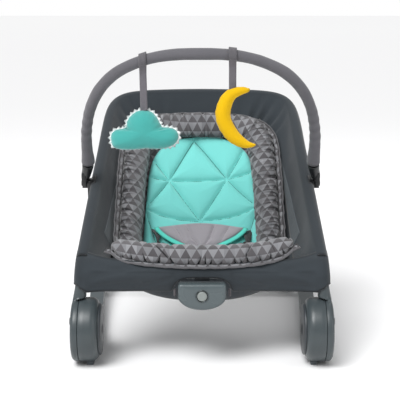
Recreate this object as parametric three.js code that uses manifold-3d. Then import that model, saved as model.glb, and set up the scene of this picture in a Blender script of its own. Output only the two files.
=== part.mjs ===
// A folding baby bouncer seat that also rocks: a base with two curved rails, a fabric seat that folds
// about two round hubs at the front, a toy bar with two plush toys, and a vibration unit.
// Millimetres. +X is the right-hand side seen from the front, +Y runs back, +Z is up.
import * as THREE from "three";
import { mergeVertices } from "three/addons/utils/BufferGeometryUtils.js";
import Module from "manifold-3d";

const wasm = await Module();
wasm.setup();

// ---- driving dimensions ----
const GAP = 0.4; // between pieces that touch
const HUB_Z = 65; // height of the fold axis above the floor
const DRUM_R = 61;
const DRUM_INNER_X = 196;
const DRUM_OUTER_X = 233;
const COVER_OUTER_X = 247;
const AXLE_R = 6;
const BUTTON_RISE = 15; // release button's centre above the fold axis
const BUTTON_R = 8.5;
const BUTTON_TRAVEL = 4;

const RAIL_WIDTH = 30;
const RAIL_INNER_X = 196;
const RAIL_SPLAY = 0.06; // outward run of a rail for each millimetre back
const RAIL_HEIGHT = 33;
const RAIL_END_Y = 540;
const ROCKER_LOW_Y = 190;
const ROCKER_LOW_Z = 1.5;
const ROCKER_R = 2150;

const REAR_TUBE = { y: 500, z: 44, r: 10 };
const KICKSTAND_X = 208;
const KICKSTAND_FOOT = { y: 518, height: 12 };

const FRAME_R = 8.5; // seat tube's outer radius
const TUBE_WALL = 1.5;
const TUBE_SIDES = 8;
const BORE_SIDES = 5; // of a tube's hidden inside
const SLEEVE_R = 10.8; // outside of the fabric sleeve on the seat tube
const NECK_X = 230;
const FRAME_STEPS = 30; // straight stretches in half the seat frame
const HOOP_STEP = 22; // the stretch where the side tube meets the hoop
const FRONT_TUBE = { y: -1, z: 172, r: 7.5, half: 217 };

const PIVOT = { x: 240, y: 195, z: 315, r: 14 }; // toy bar's pivot
const BAR_CORE_R = 6.5;
const BAR_SLEEVE_R = 9.8;
const BAR_STEPS = 30;
const CLOUD = { x: -109, strapX: -115.5, z: 444, width: 134, height: 78, depth: 40 };
const MOON = { strapX: 57, x: 71, z: 466, top: 58, depth: 30 };
const STRAP = { width: 14, thick: 1.8 };

const UNIT = { half: 45, top: 163, shoulder: 139, drop: 29, front: -42, split: -20, back: -9, wall: 2.5 };
const UNIT_CURVE_STEPS = 24;
const UNIT_FULLNESS = 0.82; // 1 is an ellipse; less is squarer
const POWER = { z: 141, r: 9.3, travel: 2 };

const DEPTH_MIDDLE = (RAIL_END_Y - DRUM_R) / 2; // the middle of the whole seat, front to back

const COLOURS = {
  fabric: 0x454b53, plastic: 0x5e6663, darkPlastic: 0x3a3f44, steel: 0x9a9fa3, rubber: 0x222426,
  print: 0x8e9093, teal: 0x7fe0d8, pad: 0xa8a3a8, sleeve: 0x77757b, cloud: 0x5abeb2, moon: 0xffd014,
  strap: 0x7d7882, unit: 0x5e686a, button: 0xa5acaa, board: 0x2f6b3a, copper: 0xb87333, webbing: 0x202326,
};

const part = new THREE.Group();
part.position.y = -DEPTH_MIDDLE;

// ---- helpers ----
function add(name, geometry, color, roughness = 0.6, metalness = 0) {
  const mesh = new THREE.Mesh(geometry, new THREE.MeshStandardMaterial({ color, roughness, metalness }));
  mesh.name = name;
  part.add(mesh);
  return mesh;
}

function solidOf(geometry) {
  const bare = geometry.clone();
  bare.deleteAttribute("normal");
  bare.deleteAttribute("uv");
  const merged = mergeVertices(bare, 1e-4);
  return new wasm.Manifold(new wasm.Mesh({
    numProp: 3,
    vertProperties: new Float32Array(merged.attributes.position.array),
    triVerts: new Uint32Array(merged.index.array),
  }));
}

function geometryOf(solid) {
  const mesh = solid.getMesh();
  const geometry = new THREE.BufferGeometry();
  geometry.setAttribute("position", new THREE.BufferAttribute(new Float32Array(mesh.vertProperties), 3));
  geometry.setIndex(new THREE.BufferAttribute(new Uint32Array(mesh.triVerts), 1));
  geometry.computeVertexNormals();
  return geometry;
}

function join(...pieces) {
  return geometryOf(pieces.map(solidOf).reduce((whole, next) => whole.add(next)));
}

function cut(geometry, ...tools) {
  return geometryOf(tools.map(solidOf).reduce((whole, tool) => whole.subtract(tool), solidOf(geometry)));
}

// the other side's copy, with its faces still pointing out
function mirrored(geometry) {
  const copy = geometry.index ? geometry.toNonIndexed() : geometry.clone();
  const p = copy.attributes.position;
  for (let i = 0; i < p.count; i += 3) {
    const [b, c] = [i + 1, i + 2].map((n) => [-p.getX(n), p.getY(n), p.getZ(n)]);
    p.setX(i, -p.getX(i));
    p.setXYZ(i + 1, ...c);
    p.setXYZ(i + 2, ...b);
  }
  copy.deleteAttribute("normal");
  copy.deleteAttribute("uv");
  const merged = mergeVertices(copy, 1e-4);
  merged.computeVertexNormals();
  return merged;
}

// adds NAME_right and its mirror image NAME_left
function addPair(name, geometry, ...look) {
  add(`${name}_right`, geometry, ...look);
  add(`${name}_left`, mirrored(geometry), ...look);
}

function box(x0, x1, y0, y1, z0, z1) {
  const geometry = new THREE.BoxGeometry(x1 - x0, y1 - y0, z1 - z0);
  return geometry.translate((x0 + x1) / 2, (y0 + y1) / 2, (z0 + z1) / 2);
}

// a shape drawn in (y, z), extruded along X
function extrudeX(shape, x0, x1, options = {}) {
  const geometry = new THREE.ExtrudeGeometry(shape, { depth: x1 - x0, bevelEnabled: false, ...options });
  const turn = new THREE.Matrix4().makeBasis(
    new THREE.Vector3(0, 1, 0), new THREE.Vector3(0, 0, 1), new THREE.Vector3(1, 0, 0));
  return geometry.applyMatrix4(turn).translate(x0, 0, 0);
}

// a shape drawn in (x, z), extruded along Y
function extrudeY(shape, y0, y1) {
  const options = { depth: y1 - y0, bevelEnabled: false, curveSegments: 12 };
  const geometry = new THREE.ExtrudeGeometry(shape, options);
  const turn = new THREE.Matrix4().makeBasis(
    new THREE.Vector3(1, 0, 0), new THREE.Vector3(0, 0, 1), new THREE.Vector3(0, -1, 0));
  return geometry.applyMatrix4(turn).translate(0, y1, 0);
}

// a profile of [radius, x] points turned about a line parallel to X
function latheX(profile, y, z, segments = 24) {
  const points = profile.map(([r, x]) => new THREE.Vector2(r, x));
  return new THREE.LatheGeometry(points, segments).rotateZ(-Math.PI / 2).translate(0, y, z);
}

function cylinderX(r, x0, x1, y, z, segments = 20) {
  const geometry = new THREE.CylinderGeometry(r, r, x1 - x0, segments).rotateZ(Math.PI / 2);
  return geometry.translate((x0 + x1) / 2, y, z);
}

function cylinderY(r, y0, y1, x, z, segments = 20) {
  return new THREE.CylinderGeometry(r, r, y1 - y0, segments).translate(x, (y0 + y1) / 2, z);
}

function ringShape(outer, inner, segments, innerSegments = segments) {
  const shape = new THREE.Shape(circlePoints(outer, segments));
  if (inner > 0) shape.holes.push(new THREE.Path(circlePoints(inner, innerSegments).reverse()));
  return shape;
}

// the least inner radius for a many-sided sleeve that clears a round core
function aroundCore(coreR) {
  return coreR / Math.cos(Math.PI / TUBE_SIDES) + GAP + 0.1;
}

function circlePoints(r, segments) {
  return Array.from({ length: segments }, (_, i) => {
    const a = (2 * Math.PI * i) / segments;
    return new THREE.Vector2(r * Math.cos(a), r * Math.sin(a));
  });
}

function curveThrough(points) {
  return new THREE.CatmullRomCurve3(points.map((p) => new THREE.Vector3(...p)), false, "centripetal");
}

// evenly spaced points of a curve cut into so many steps, from one step to another
function stations(curve, steps, from, to) {
  return Array.from({ length: to - from + 1 }, (_, i) => curve.getPointAt((from + i) / steps));
}

// a hollow tube through evenly spaced points
function tubeThrough(points, outer, inner, innerSides = TUBE_SIDES) {
  const extrudePath = new THREE.CatmullRomCurve3(points, false, "centripetal");
  const shape = ringShape(outer, inner, TUBE_SIDES, innerSides);
  return new THREE.ExtrudeGeometry(shape, { steps: points.length - 1, extrudePath });
}

// a round bar or ring from one point to another
function rod(from, to, outer, inner = 0, sides = 14) {
  const [a, b] = [new THREE.Vector3(...from), new THREE.Vector3(...to)];
  const options = { depth: a.distanceTo(b), bevelEnabled: false };
  const geometry = new THREE.ExtrudeGeometry(ringShape(outer, inner, sides), options);
  const along = b.clone().sub(a).normalize();
  const turn = new THREE.Quaternion().setFromUnitVectors(new THREE.Vector3(0, 0, 1), along);
  return geometry.applyQuaternion(turn).translate(a.x, a.y, a.z);
}

// the faces between rings of m points each
function ringFaces(count, m) {
  const index = [];
  for (let i = 0; i + 1 < count; i += 1) {
    for (let j = 0; j < m; j += 1) {
      const [a, b] = [i * m + j, i * m + ((j + 1) % m)];
      index.push(a, b, a + m, b, b + m, a + m);
    }
  }
  return index;
}

function closedMesh(positions, index) {
  const geometry = new THREE.BufferGeometry();
  geometry.setAttribute("position", new THREE.Float32BufferAttribute(positions, 3));
  geometry.setIndex(index);
  return facingOut(geometry);
}

// a closed solid from rings of points, with a fan at each end: rings[i][j] is a THREE.Vector3
function loft(rings) {
  const [n, m] = [rings.length, rings[0].length];
  const positions = rings.flat().flatMap((p) => [p.x, p.y, p.z]);
  const index = ringFaces(n, m);
  for (const [ring, flip] of [[0, true], [n - 1, false]]) {
    const centre = positions.length / 3;
    const middle = rings[ring].reduce((sum, p) => sum.add(p), new THREE.Vector3()).divideScalar(m);
    positions.push(middle.x, middle.y, middle.z);
    for (let j = 0; j < m; j += 1) {
      const [a, b] = [ring * m + j, ring * m + ((j + 1) % m)];
      index.push(...(flip ? [a, centre, b] : [a, b, centre]));
    }
  }
  return closedMesh(positions, index);
}

// turns a closed mesh the right way out if its volume comes out negative
function facingOut(geometry) {
  const [p, index] = [geometry.attributes.position, geometry.index];
  const corner = (i) => new THREE.Vector3().fromBufferAttribute(p, index.getX(i));
  let volume = 0;
  for (let i = 0; i < index.count; i += 3) {
    volume += corner(i).dot(corner(i + 1).cross(corner(i + 2)));
  }
  if (volume < 0) {
    for (let i = 0; i < index.count; i += 3) {
      const b = index.getX(i + 1);
      index.setX(i + 1, index.getX(i + 2));
      index.setX(i + 2, b);
    }
  }
  geometry.computeVertexNormals();
  return geometry;
}

// a sheet between two faces of a grid: low(u, v) and high(u, v), with u and v from 0 to 1
function sheet(low, high, nu, nv) {
  const rings = [];
  for (let i = 0; i <= nu; i += 1) {
    const ring = [];
    for (let j = 0; j <= nv; j += 1) ring.push(low(i / nu, j / nv));
    for (let j = nv; j >= 0; j -= 1) ring.push(high(i / nu, j / nv));
    rings.push(ring);
  }
  const m = rings[0].length;
  const positions = rings.flat().flatMap((p) => [p.x, p.y, p.z]);
  const index = ringFaces(rings.length, m);
  for (const [ring, flip] of [[0, true], [nu, false]]) {
    for (let j = 0; j < nv; j += 1) {
      const quad = [j, j + 1, 2 * nv - j, 2 * nv + 1 - j].map((k) => ring * m + k);
      const [a, b, c, d] = flip ? quad.reverse() : quad;
      index.push(a, b, c, a, c, d);
    }
  }
  return closedMesh(positions, index);
}

// ---- the seat's surface: what the sling, liner, pad and bolsters all lie on ----
// Each row runs from the tube on one side to the other: half width, the tube's [y, z], the middle's [y, z].
const SEAT_ROWS = [
  [218, [4, 192], [6, 190]],
  [217, [24, 206], [40, 146]],
  [215, [62, 230], [90, 102]],
  [212, [112, 260], [148, 103]],
  [208, [182, 302], [222, 163]],
  [200, [282, 362], [315, 268]],
  [193, [380, 422], [396, 373]],
  [180, [430, 450], [436, 430]],
  [152, [447, 459], [457, 463]],
];
const halfWidthCurve = curveThrough(SEAT_ROWS.map(([w], i) => [w, i * 40, 0]));
const tubeLineCurve = curveThrough(SEAT_ROWS.map(([, [y, z]]) => [0, y, z]));
const middleLineCurve = curveThrough(SEAT_ROWS.map(([, , [y, z]]) => [0, y, z]));
const SAG_SHARPNESS = 3;
const COVER_GRID = 14; // cells each way in the cover and the liner
const COVER_EDGE = 0.985;

// s runs from 0 at the front to 1 at the head; c from -1 at the left tube to 1 at the right
function seatPoint(s, c) {
  const t = Math.min(Math.max(s, 0), 1);
  const curves = [halfWidthCurve, tubeLineCurve, middleLineCurve];
  const [w, tube, middle] = curves.map((curve) => curve.getPoint(t));
  const sag = 1 - Math.abs(c) ** SAG_SHARPNESS;
  const p = tube.lerp(middle, sag);
  p.x = c * w.x;
  return p;
}

function seatNormal(s, c) {
  const [ds, dc] = [0.01, 0.02];
  const along = seatPoint(Math.min(s + ds, 1), c).sub(seatPoint(Math.max(s - ds, 0), c));
  const across = seatPoint(s, Math.min(c + dc, 1)).sub(seatPoint(s, Math.max(c - dc, -1)));
  return across.cross(along).normalize();
}

// a point at a height above the seat's surface
function above(s, c, height) {
  return seatPoint(s, c).addScaledVector(seatNormal(s, c), height);
}

// a stuffed roll along a path of [s, c, height of its middle, half width, half height]
function roll(path, steps, sides) {
  const place = curveThrough(path.map(([s, c, h]) => [s * 400, c * 200, h]));
  const size = curveThrough(path.map(([, , , w, h], i) => [w, h, i * 20]));
  const middles = Array.from({ length: steps + 1 }, (_, i) => {
    const p = place.getPoint(i / steps);
    const [s, c] = [p.x / 400, p.y / 200];
    return { at: above(s, c, p.z), up: seatNormal(s, c), size: size.getPoint(i / steps) };
  });
  const rings = middles.map(({ at, up, size: half }, i) => {
    const before = middles[Math.max(i - 1, 0)].at;
    const along = middles[Math.min(i + 1, steps)].at.clone().sub(before).normalize();
    const out = along.clone().cross(up).normalize();
    const rise = out.clone().cross(along).normalize();
    return circlePoints(1, sides).map((q) => at.clone()
      .addScaledVector(out, q.x * half.x).addScaledVector(rise, q.y * half.y));
  });
  return loft(rings);
}

// ---- base ----
function railOutline() {
  const under = (y) => ROCKER_LOW_Z + (y - ROCKER_LOW_Y) ** 2 / (2 * ROCKER_R);
  const steps = 12;
  const shape = new THREE.Shape();
  const [front, back] = [24, RAIL_END_Y - 12];
  shape.moveTo(front, under(front));
  for (let i = 1; i <= steps; i += 1) {
    const y = front + ((back - front) * i) / steps;
    shape.lineTo(y, under(y));
  }
  shape.quadraticCurveTo(RAIL_END_Y, under(back) + 2, RAIL_END_Y, under(back) + RAIL_HEIGHT / 2);
  shape.quadraticCurveTo(RAIL_END_Y, under(back) + RAIL_HEIGHT, back, under(back) + RAIL_HEIGHT);
  for (let i = steps - 1; i >= 3; i -= 1) {
    const y = front + ((back - front) * i) / steps;
    shape.lineTo(y, under(y) + RAIL_HEIGHT);
  }
  shape.quadraticCurveTo(80, under(80) + RAIL_HEIGHT + 6, 44, HUB_Z + 22);
  shape.lineTo(20, HUB_Z + 20);
  shape.closePath();
  return shape;
}

function makeBase() {
  const wall = 8;
  const drum = latheX([
    [AXLE_R + GAP, DRUM_INNER_X], [50, DRUM_INNER_X], [56, DRUM_INNER_X + 2.5], [60, DRUM_INNER_X + 10],
    [DRUM_R, DRUM_INNER_X + 20], [DRUM_R, DRUM_OUTER_X], [DRUM_R - wall, DRUM_OUTER_X],
    [DRUM_R - wall, DRUM_INNER_X + wall], [AXLE_R + GAP, DRUM_INNER_X + wall], [AXLE_R + GAP, DRUM_INNER_X],
  ], 0, HUB_Z);
  const rail = extrudeX(railOutline(), 0, RAIL_WIDTH, { curveSegments: 6 })
    .rotateZ(-Math.atan(RAIL_SPLAY)).translate(RAIL_INNER_X + 2, 0, 0);
  const drumSpace = cylinderX(DRUM_R - 5, 150, 290, 0, HUB_Z, 36);
  const tubeHole = cylinderX(REAR_TUBE.r + GAP, 150, 246, REAR_TUBE.y, REAR_TUBE.z);
  addPair("base_rail", join(cut(rail, drumSpace, tubeHole), drum), COLOURS.plastic, 0.45);
  addPair("drum_cap", latheX([
    [10, DRUM_INNER_X - 5], [46, DRUM_INNER_X - 5], [49, DRUM_INNER_X - 3.5], [49, DRUM_INNER_X - GAP],
    [10, DRUM_INNER_X - GAP], [10, DRUM_INNER_X - 5],
  ], 0, HUB_Z, 24), COLOURS.plastic, 0.45);
  addPair("hub_axle", latheX([
    [0, DRUM_INNER_X - 4], [9, DRUM_INNER_X - 4], [9, DRUM_INNER_X - GAP], [AXLE_R, DRUM_INNER_X - GAP],
    [AXLE_R, DRUM_OUTER_X + 2], [0, DRUM_OUTER_X + 2],
  ], 0, HUB_Z, 20), COLOURS.steel, 0.35, 0.9);
  const pad = cut(box(207, 219, -20, 20, 0, 10), cylinderX(DRUM_R + GAP, 190, 240, 0, HUB_Z, 72));
  addPair("front_pad", pad, COLOURS.rubber, 0.9);
  const half = 244;
  add("rear_cross_tube", rod([-half, REAR_TUBE.y, REAR_TUBE.z], [half, REAR_TUBE.y, REAR_TUBE.z],
    REAR_TUBE.r, REAR_TUBE.r - TUBE_WALL, 16), COLOURS.darkPlastic, 0.4, 0.5);
}

function makeKickstand() {
  const { y, z, r } = REAR_TUBE;
  const foot = KICKSTAND_FOOT;
  const collar = (x) => cylinderX(r + 5, x - 8, x + 8, y, z);
  const leg = (x) => rod([x, y + 2, z - 6], [x, foot.y - 0.6, foot.height - 3], 6, 0, 12);
  const xs = [-KICKSTAND_X, KICKSTAND_X];
  const bar = rod([-KICKSTAND_X, foot.y - 6, 25], [KICKSTAND_X, foot.y - 6, 25], 5.5, 0, 12);
  const bore = cylinderX(r + GAP, -300, 300, y, z);
  const frame = cut(join(bar, ...xs.map(collar), ...xs.map(leg)), bore);
  const footPiece = cut(box(KICKSTAND_X - 9, KICKSTAND_X + 9, foot.y - 11, foot.y + 11, 0, foot.height),
    rod([KICKSTAND_X, y + 2, z - 6], [KICKSTAND_X, foot.y - 0.4, foot.height - 3.6], 6 + GAP, 0, 12));
  add("kickstand_frame", frame, COLOURS.darkPlastic, 0.5);
  addPair("kickstand_foot", footPiece, COLOURS.rubber, 0.9);
}

// ---- hubs ----
function makeLockRings() {
  const [teeth, rootR, tipR, outerR] = [12, 33, 30, 51];
  const shape = new THREE.Shape(circlePoints(outerR, 24));
  const inner = Array.from({ length: teeth * 4 }, (_, i) => {
    const a = (-2 * Math.PI * i) / (teeth * 4);
    const r = i % 4 < 2 ? rootR : tipR;
    return new THREE.Vector2(r * Math.cos(a), r * Math.sin(a));
  });
  shape.holes.push(new THREE.Path(inner));
  addPair("lock_ring", extrudeX(shape, DRUM_INNER_X + 10, DRUM_OUTER_X - 2).translate(0, 0, HUB_Z),
    COLOURS.steel, 0.4, 0.8);
}

function neckStrip() {
  const shape = new THREE.Shape();
  shape.moveTo(-24, HUB_Z + 36);
  shape.lineTo(24, HUB_Z + 36);
  shape.quadraticCurveTo(15, HUB_Z + 66, 9, HUB_Z + 84);
  shape.quadraticCurveTo(0, HUB_Z + 90, -12, HUB_Z + 84);
  shape.quadraticCurveTo(-16, HUB_Z + 66, -24, HUB_Z + 36);
  return extrudeX(shape, NECK_X + FRAME_R + GAP + 0.6, COVER_OUTER_X - 0.8, { curveSegments: 4 });
}

function makeHubCovers() {
  const bossEnd = DRUM_INNER_X + 11;
  const inside = DRUM_OUTER_X + 0.6;
  const disc = latheX([
    [0, bossEnd], [28, bossEnd], [28, inside], [DRUM_R, inside], [DRUM_R, COVER_OUTER_X - 8],
    [DRUM_R - 3, COVER_OUTER_X - 3], [DRUM_R - 10, COVER_OUTER_X], [0, COVER_OUTER_X],
  ], 0, HUB_Z);
  const collar = rod([NECK_X, -2, HUB_Z + DRUM_R + 1.5], [NECK_X, -2, HUB_Z + DRUM_R + 16], FRAME_R + 2.6);
  const rise = HUB_Z + BUTTON_RISE;
  const cover = cut(join(disc, neckStrip(), collar),
    cylinderX(AXLE_R + GAP, 190, DRUM_OUTER_X + 4, 0, HUB_Z, 20),
    cylinderX(BUTTON_R + GAP, COVER_OUTER_X - 8, COVER_OUTER_X + 5, 0, rise, 20),
    cylinderX(5 + GAP, 190, COVER_OUTER_X, 0, rise, 16),
    rod([NECK_X, -2, HUB_Z + DRUM_R - 2], [NECK_X, -2, 200], FRAME_R + GAP, 0, 24));
  addPair("hub_cover", cover, COLOURS.plastic, 0.4);
  const stemEnd = bossEnd + BUTTON_TRAVEL - 2;
  addPair("release_button", latheX([
    [0, stemEnd], [5, stemEnd], [5, COVER_OUTER_X - 3], [BUTTON_R, COVER_OUTER_X - 3],
    [BUTTON_R, COVER_OUTER_X + 4], [BUTTON_R - 2, COVER_OUTER_X + 6], [0, COVER_OUTER_X + 6],
  ], 0, rise, 20), COLOURS.darkPlastic, 0.5);
}

// ---- seat frame ----
const FRAME_PATH = [
  [NECK_X, -2, HUB_Z + DRUM_R + 3], [NECK_X, -2, 150], [229, -2, 172], [227, 9, 197], [225.5, 27, 211],
  [221.5, 90, 250], [216, 180, 304], [208, 293, 374], [201, 390, 433], [194, 424, 452], [178, 446, 464],
  [150, 457, 469], [80, 466, 472], [0, 469, 473],
];
const halfFrame = curveThrough(FRAME_PATH);

function makeSeatFrame() {
  const inner = FRAME_R - TUBE_WALL;
  const side = stations(halfFrame, FRAME_STEPS, 0, HOOP_STEP);
  side[HOOP_STEP].lerp(side[HOOP_STEP - 1], 0.15);
  addPair("side_tube", tubeThrough(side, FRAME_R, inner, BORE_SIDES), COLOURS.steel, 0.4, 0.8);
  const right = stations(halfFrame, FRAME_STEPS, HOOP_STEP, FRAME_STEPS);
  const left = right.slice(0, -1).reverse().map((p) => new THREE.Vector3(-p.x, p.y, p.z));
  add("back_hoop", tubeThrough([...right, ...left], FRAME_R, inner, BORE_SIDES), COLOURS.steel, 0.4, 0.8);
  const { y, z, r, half } = FRONT_TUBE;
  add("front_tube", rod([-half, y, z], [half, y, z], r, r - TUBE_WALL, 12), COLOURS.steel, 0.4, 0.8);
}

// ---- seat cover ----
function makeCover() {
  const path = stations(halfFrame, FRAME_STEPS, 2, FRAME_STEPS);
  path[path.length - 1].x += 2 * GAP;
  addPair("frame_sleeve", tubeThrough(path, SLEEVE_R, aroundCore(FRAME_R)), COLOURS.fabric, 0.95);
  add("seat_sling", layer(0, COVER_GRID, 0, COVER_GRID, -6.4, -4), COLOURS.fabric, 0.95);
  add("front_apron", apron(), COLOURS.fabric, 0.95);
}

// a layer of cloth between two heights over the seat, from one line of the cover's grid to another each way
function layer(s0, s1, c0, c1, low, high) {
  const at = (k, from, to) => (from + k * (to - from)) / COVER_GRID;
  const face = (height) => (u, v) => above(at(u, s0, s1), (2 * at(v, c0, c1) - 1) * COVER_EDGE, height);
  return sheet(face(low), face(high), s1 - s0, c1 - c0);
}

// the flat panel in front of the seat, with an arch over the vibration unit
const APRON = { half: 217, top: 197, bottom: 142, arch: 57, archTop: 172, front: -11, bow: 4, thick: 2.2 };
// where the panel is cut into strips, from one side (0) to the other (1): close together at the arch's feet
const APRON_CUTS = [
  0, 0.1, 0.2, 0.3, 0.372, 0.377, 0.4, 0.44, 0.5, 0.56, 0.6, 0.623, 0.628, 0.7, 0.8, 0.9, 1,
];

function apronHem(x) {
  const { bottom, arch, archTop } = APRON;
  if (Math.abs(x) >= arch) return bottom;
  return bottom + (archTop - bottom) * (1 - (x / arch) ** 4) ** 0.5;
}

function apron() {
  const { half, top, front, bow, thick } = APRON;
  const strips = APRON_CUTS.length - 1;
  const foldBack = (z) => Math.max(0, z - 186) * 0.5;
  const spot = (u, v, depth) => {
    const x = (2 * APRON_CUTS[Math.round(u * strips)] - 1) * half;
    const z = apronHem(x) + (top - apronHem(x)) * v;
    const y = front - bow * (1 - (x / half) ** 2) + foldBack(z);
    return new THREE.Vector3(x, y + depth, z);
  };
  return sheet((u, v) => spot(u, v, 0), (u, v) => spot(u, v, thick), strips, 4);
}

// ---- padded liner ----
// half of the ring bolster's path, from the knees up round the head:
// [s, c, middle's height, half width, half height]
const RING = [
  [0.2, 0.72, 23, 24, 16], [0.34, 0.72, 24, 28, 18], [0.5, 0.73, 24, 29, 18], [0.64, 0.73, 24, 29, 18],
  [0.72, 0.68, 24, 30, 18], [0.775, 0.5, 24, 30, 18], [0.795, 0.26, 24, 30, 18], [0.8, 0, 24, 30, 18],
];
const PAD = { front: 0.28, reach: 0.46, half: 0.493, bulge: 0.035, under: 6, edge: 6, puff: 10 };

function makeLiner() {
  add("pad_liner", layer(1, 12, 1, COVER_GRID - 1, 0.3, 2.3), COLOURS.print, 0.9);
  const left = RING.slice(0, -1).reverse().map(([s, c, ...rest]) => [s, -c, ...rest]);
  add("bolster_ring", roll([...RING, ...left], 34, 8), COLOURS.print, 0.9);
  add("front_bolster", frontBolster(), COLOURS.print, 0.9);
  const { under } = PAD;
  const low = (u, v) => padSpot(u, v, under);
  const high = (u, v) => padSpot(u, v, under + padThick(u, v));
  add("seat_pad", sheet(low, high, 12, 10), COLOURS.teal, 0.85);
}

// u from the pad's front to its top, v from its left to its right
function padSpot(u, v, height) {
  const half = PAD.half + PAD.bulge * Math.sin(Math.PI * u);
  return above(PAD.front + PAD.reach * u, (2 * v - 1) * half, height);
}

function padThick(u, v) {
  return PAD.edge + PAD.puff * Math.sin(Math.PI * u) ** 0.5 * Math.sin(Math.PI * v) ** 0.5;
}

// the roll across the front, under the knees, raised a little at its ends
const KNEE = { half: 174, y: 19, z: 211.5, ry: 24.5, rz: 19.5 };

function frontBolster() {
  const rings = Array.from({ length: 21 }, (_, i) => {
    const u = i / 10 - 1;
    const swell = Math.max(1 - u ** 8, 0.25) ** 0.5;
    const middle = new THREE.Vector3(KNEE.half * u, KNEE.y + 10 * u ** 2, KNEE.z + 7 * u ** 2 + 6 * u ** 4);
    return circlePoints(1, 12).map((q) => middle.clone().add(
      new THREE.Vector3(0, q.x * KNEE.ry * swell, q.y * KNEE.rz * swell)));
  });
  return loft(rings);
}

// ---- crotch pad and waist harness ----
const HARNESS = { s: 0.475, height: 31, housingC: 0.39, gap: 0.6 };
const CROTCH = { top: 0.535, drop: 0.17, half: 0.42, taper: 0.17, under: 25, over: 32 };

// a box laid on the seat, long across it, outwards from a place and lifted above the surface
function laidBox(startC, length, width, thick, lift, shift = 0) {
  const place = above(HARNESS.s, startC, HARNESS.height + lift);
  const out = above(HARNESS.s, startC + 0.06, HARNESS.height + lift).sub(place).normalize();
  const up = seatNormal(HARNESS.s, startC).projectOnPlane(out).normalize();
  const along = up.clone().cross(out);
  const geometry = new THREE.BoxGeometry(length, width, thick).translate(shift + length / 2, 0, 0);
  const turn = new THREE.Matrix4().makeBasis(out, along, up);
  return geometry.applyMatrix4(turn).translate(place.x, place.y, place.z);
}

function makeHarness() {
  const { top, drop, half, taper, under, over } = CROTCH;
  const spot = (u, v, h) => above(top - drop * u, (2 * v - 1) * (half - taper * u), h);
  add("crotch_pad", sheet((u, v) => spot(u, v, under), (u, v) => spot(u, v, over), 8, 8), COLOURS.pad, 0.9);
  const { housingC: c, gap } = HARNESS;
  const slot = laidBox(c, 12, 13, 5, 0, 4);
  addPair("buckle", cut(laidBox(c, 15, 20, 9, 0), slot), COLOURS.webbing, 0.5);
  const tongue = join(laidBox(c, 11.5, 12, 4, 0, 5), laidBox(c, 6.5, 19, 8, 0, 15 + gap));
  addPair("buckle_tongue", tongue, COLOURS.webbing, 0.5);
}

// ---- toy bar ----
const BAR_PATH = [
  [228.5, 177, 345], [228, 162, 370], [227, 144, 400], [224, 124, 433], [213, 97, 478], [192, 74, 517],
  [160, 55.5, 548], [118, 43, 569], [83, 36.5, 579], [45, 33.5, 584], [0, 32.5, 585],
];
const barCurve = curveThrough([
  ...BAR_PATH, ...BAR_PATH.slice(0, -1).reverse().map(([x, y, z]) => [-x, y, z]),
]);

// the place on a curve, and its direction there, where miss(point) is least, searched from one share of it on
function nearestOn(curve, miss, from = 0, steps = 2000) {
  let best = from;
  for (let i = Math.ceil(from * steps); i <= steps; i += 1) {
    if (miss(curve.getPointAt(i / steps)) < miss(curve.getPointAt(best))) best = i / steps;
  }
  return { at: curve.getPointAt(best), along: curve.getTangentAt(best) };
}

function makeBarClips() {
  const { at, along } = nearestOn(halfFrame, (p) => Math.abs(p.y - PIVOT.y), 0.2, 400);
  const reach = along.clone().multiplyScalar(16);
  const [a, b] = [at.clone().sub(reach), at.clone().add(reach)];
  const clamp = rod(a.toArray(), b.toArray(), SLEEVE_R + 4, 0, 20);
  const bore = rod(a.clone().sub(reach).toArray(), b.clone().add(reach).toArray(), SLEEVE_R + GAP, 0, 16);
  const seatFace = cylinderX(PIVOT.r, PIVOT.x - 18, PIVOT.x - 8, PIVOT.y, PIVOT.z);
  const pin = cylinderX(5, PIVOT.x - 10, PIVOT.x + 10, PIVOT.y, PIVOT.z, 20);
  const tab = box(PIVOT.x - 16, PIVOT.x - 9, PIVOT.y - 8, PIVOT.y + 8, PIVOT.z - 28, PIVOT.z);
  const mouth = box(at.x - 40, at.x - 1, PIVOT.y - 40, PIVOT.y + 40, PIVOT.z - 40, PIVOT.z + 40);
  addPair("toy_bar_clip", cut(join(clamp, seatFace, pin, tab), bore, mouth), COLOURS.darkPlastic, 0.5);
}

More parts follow.
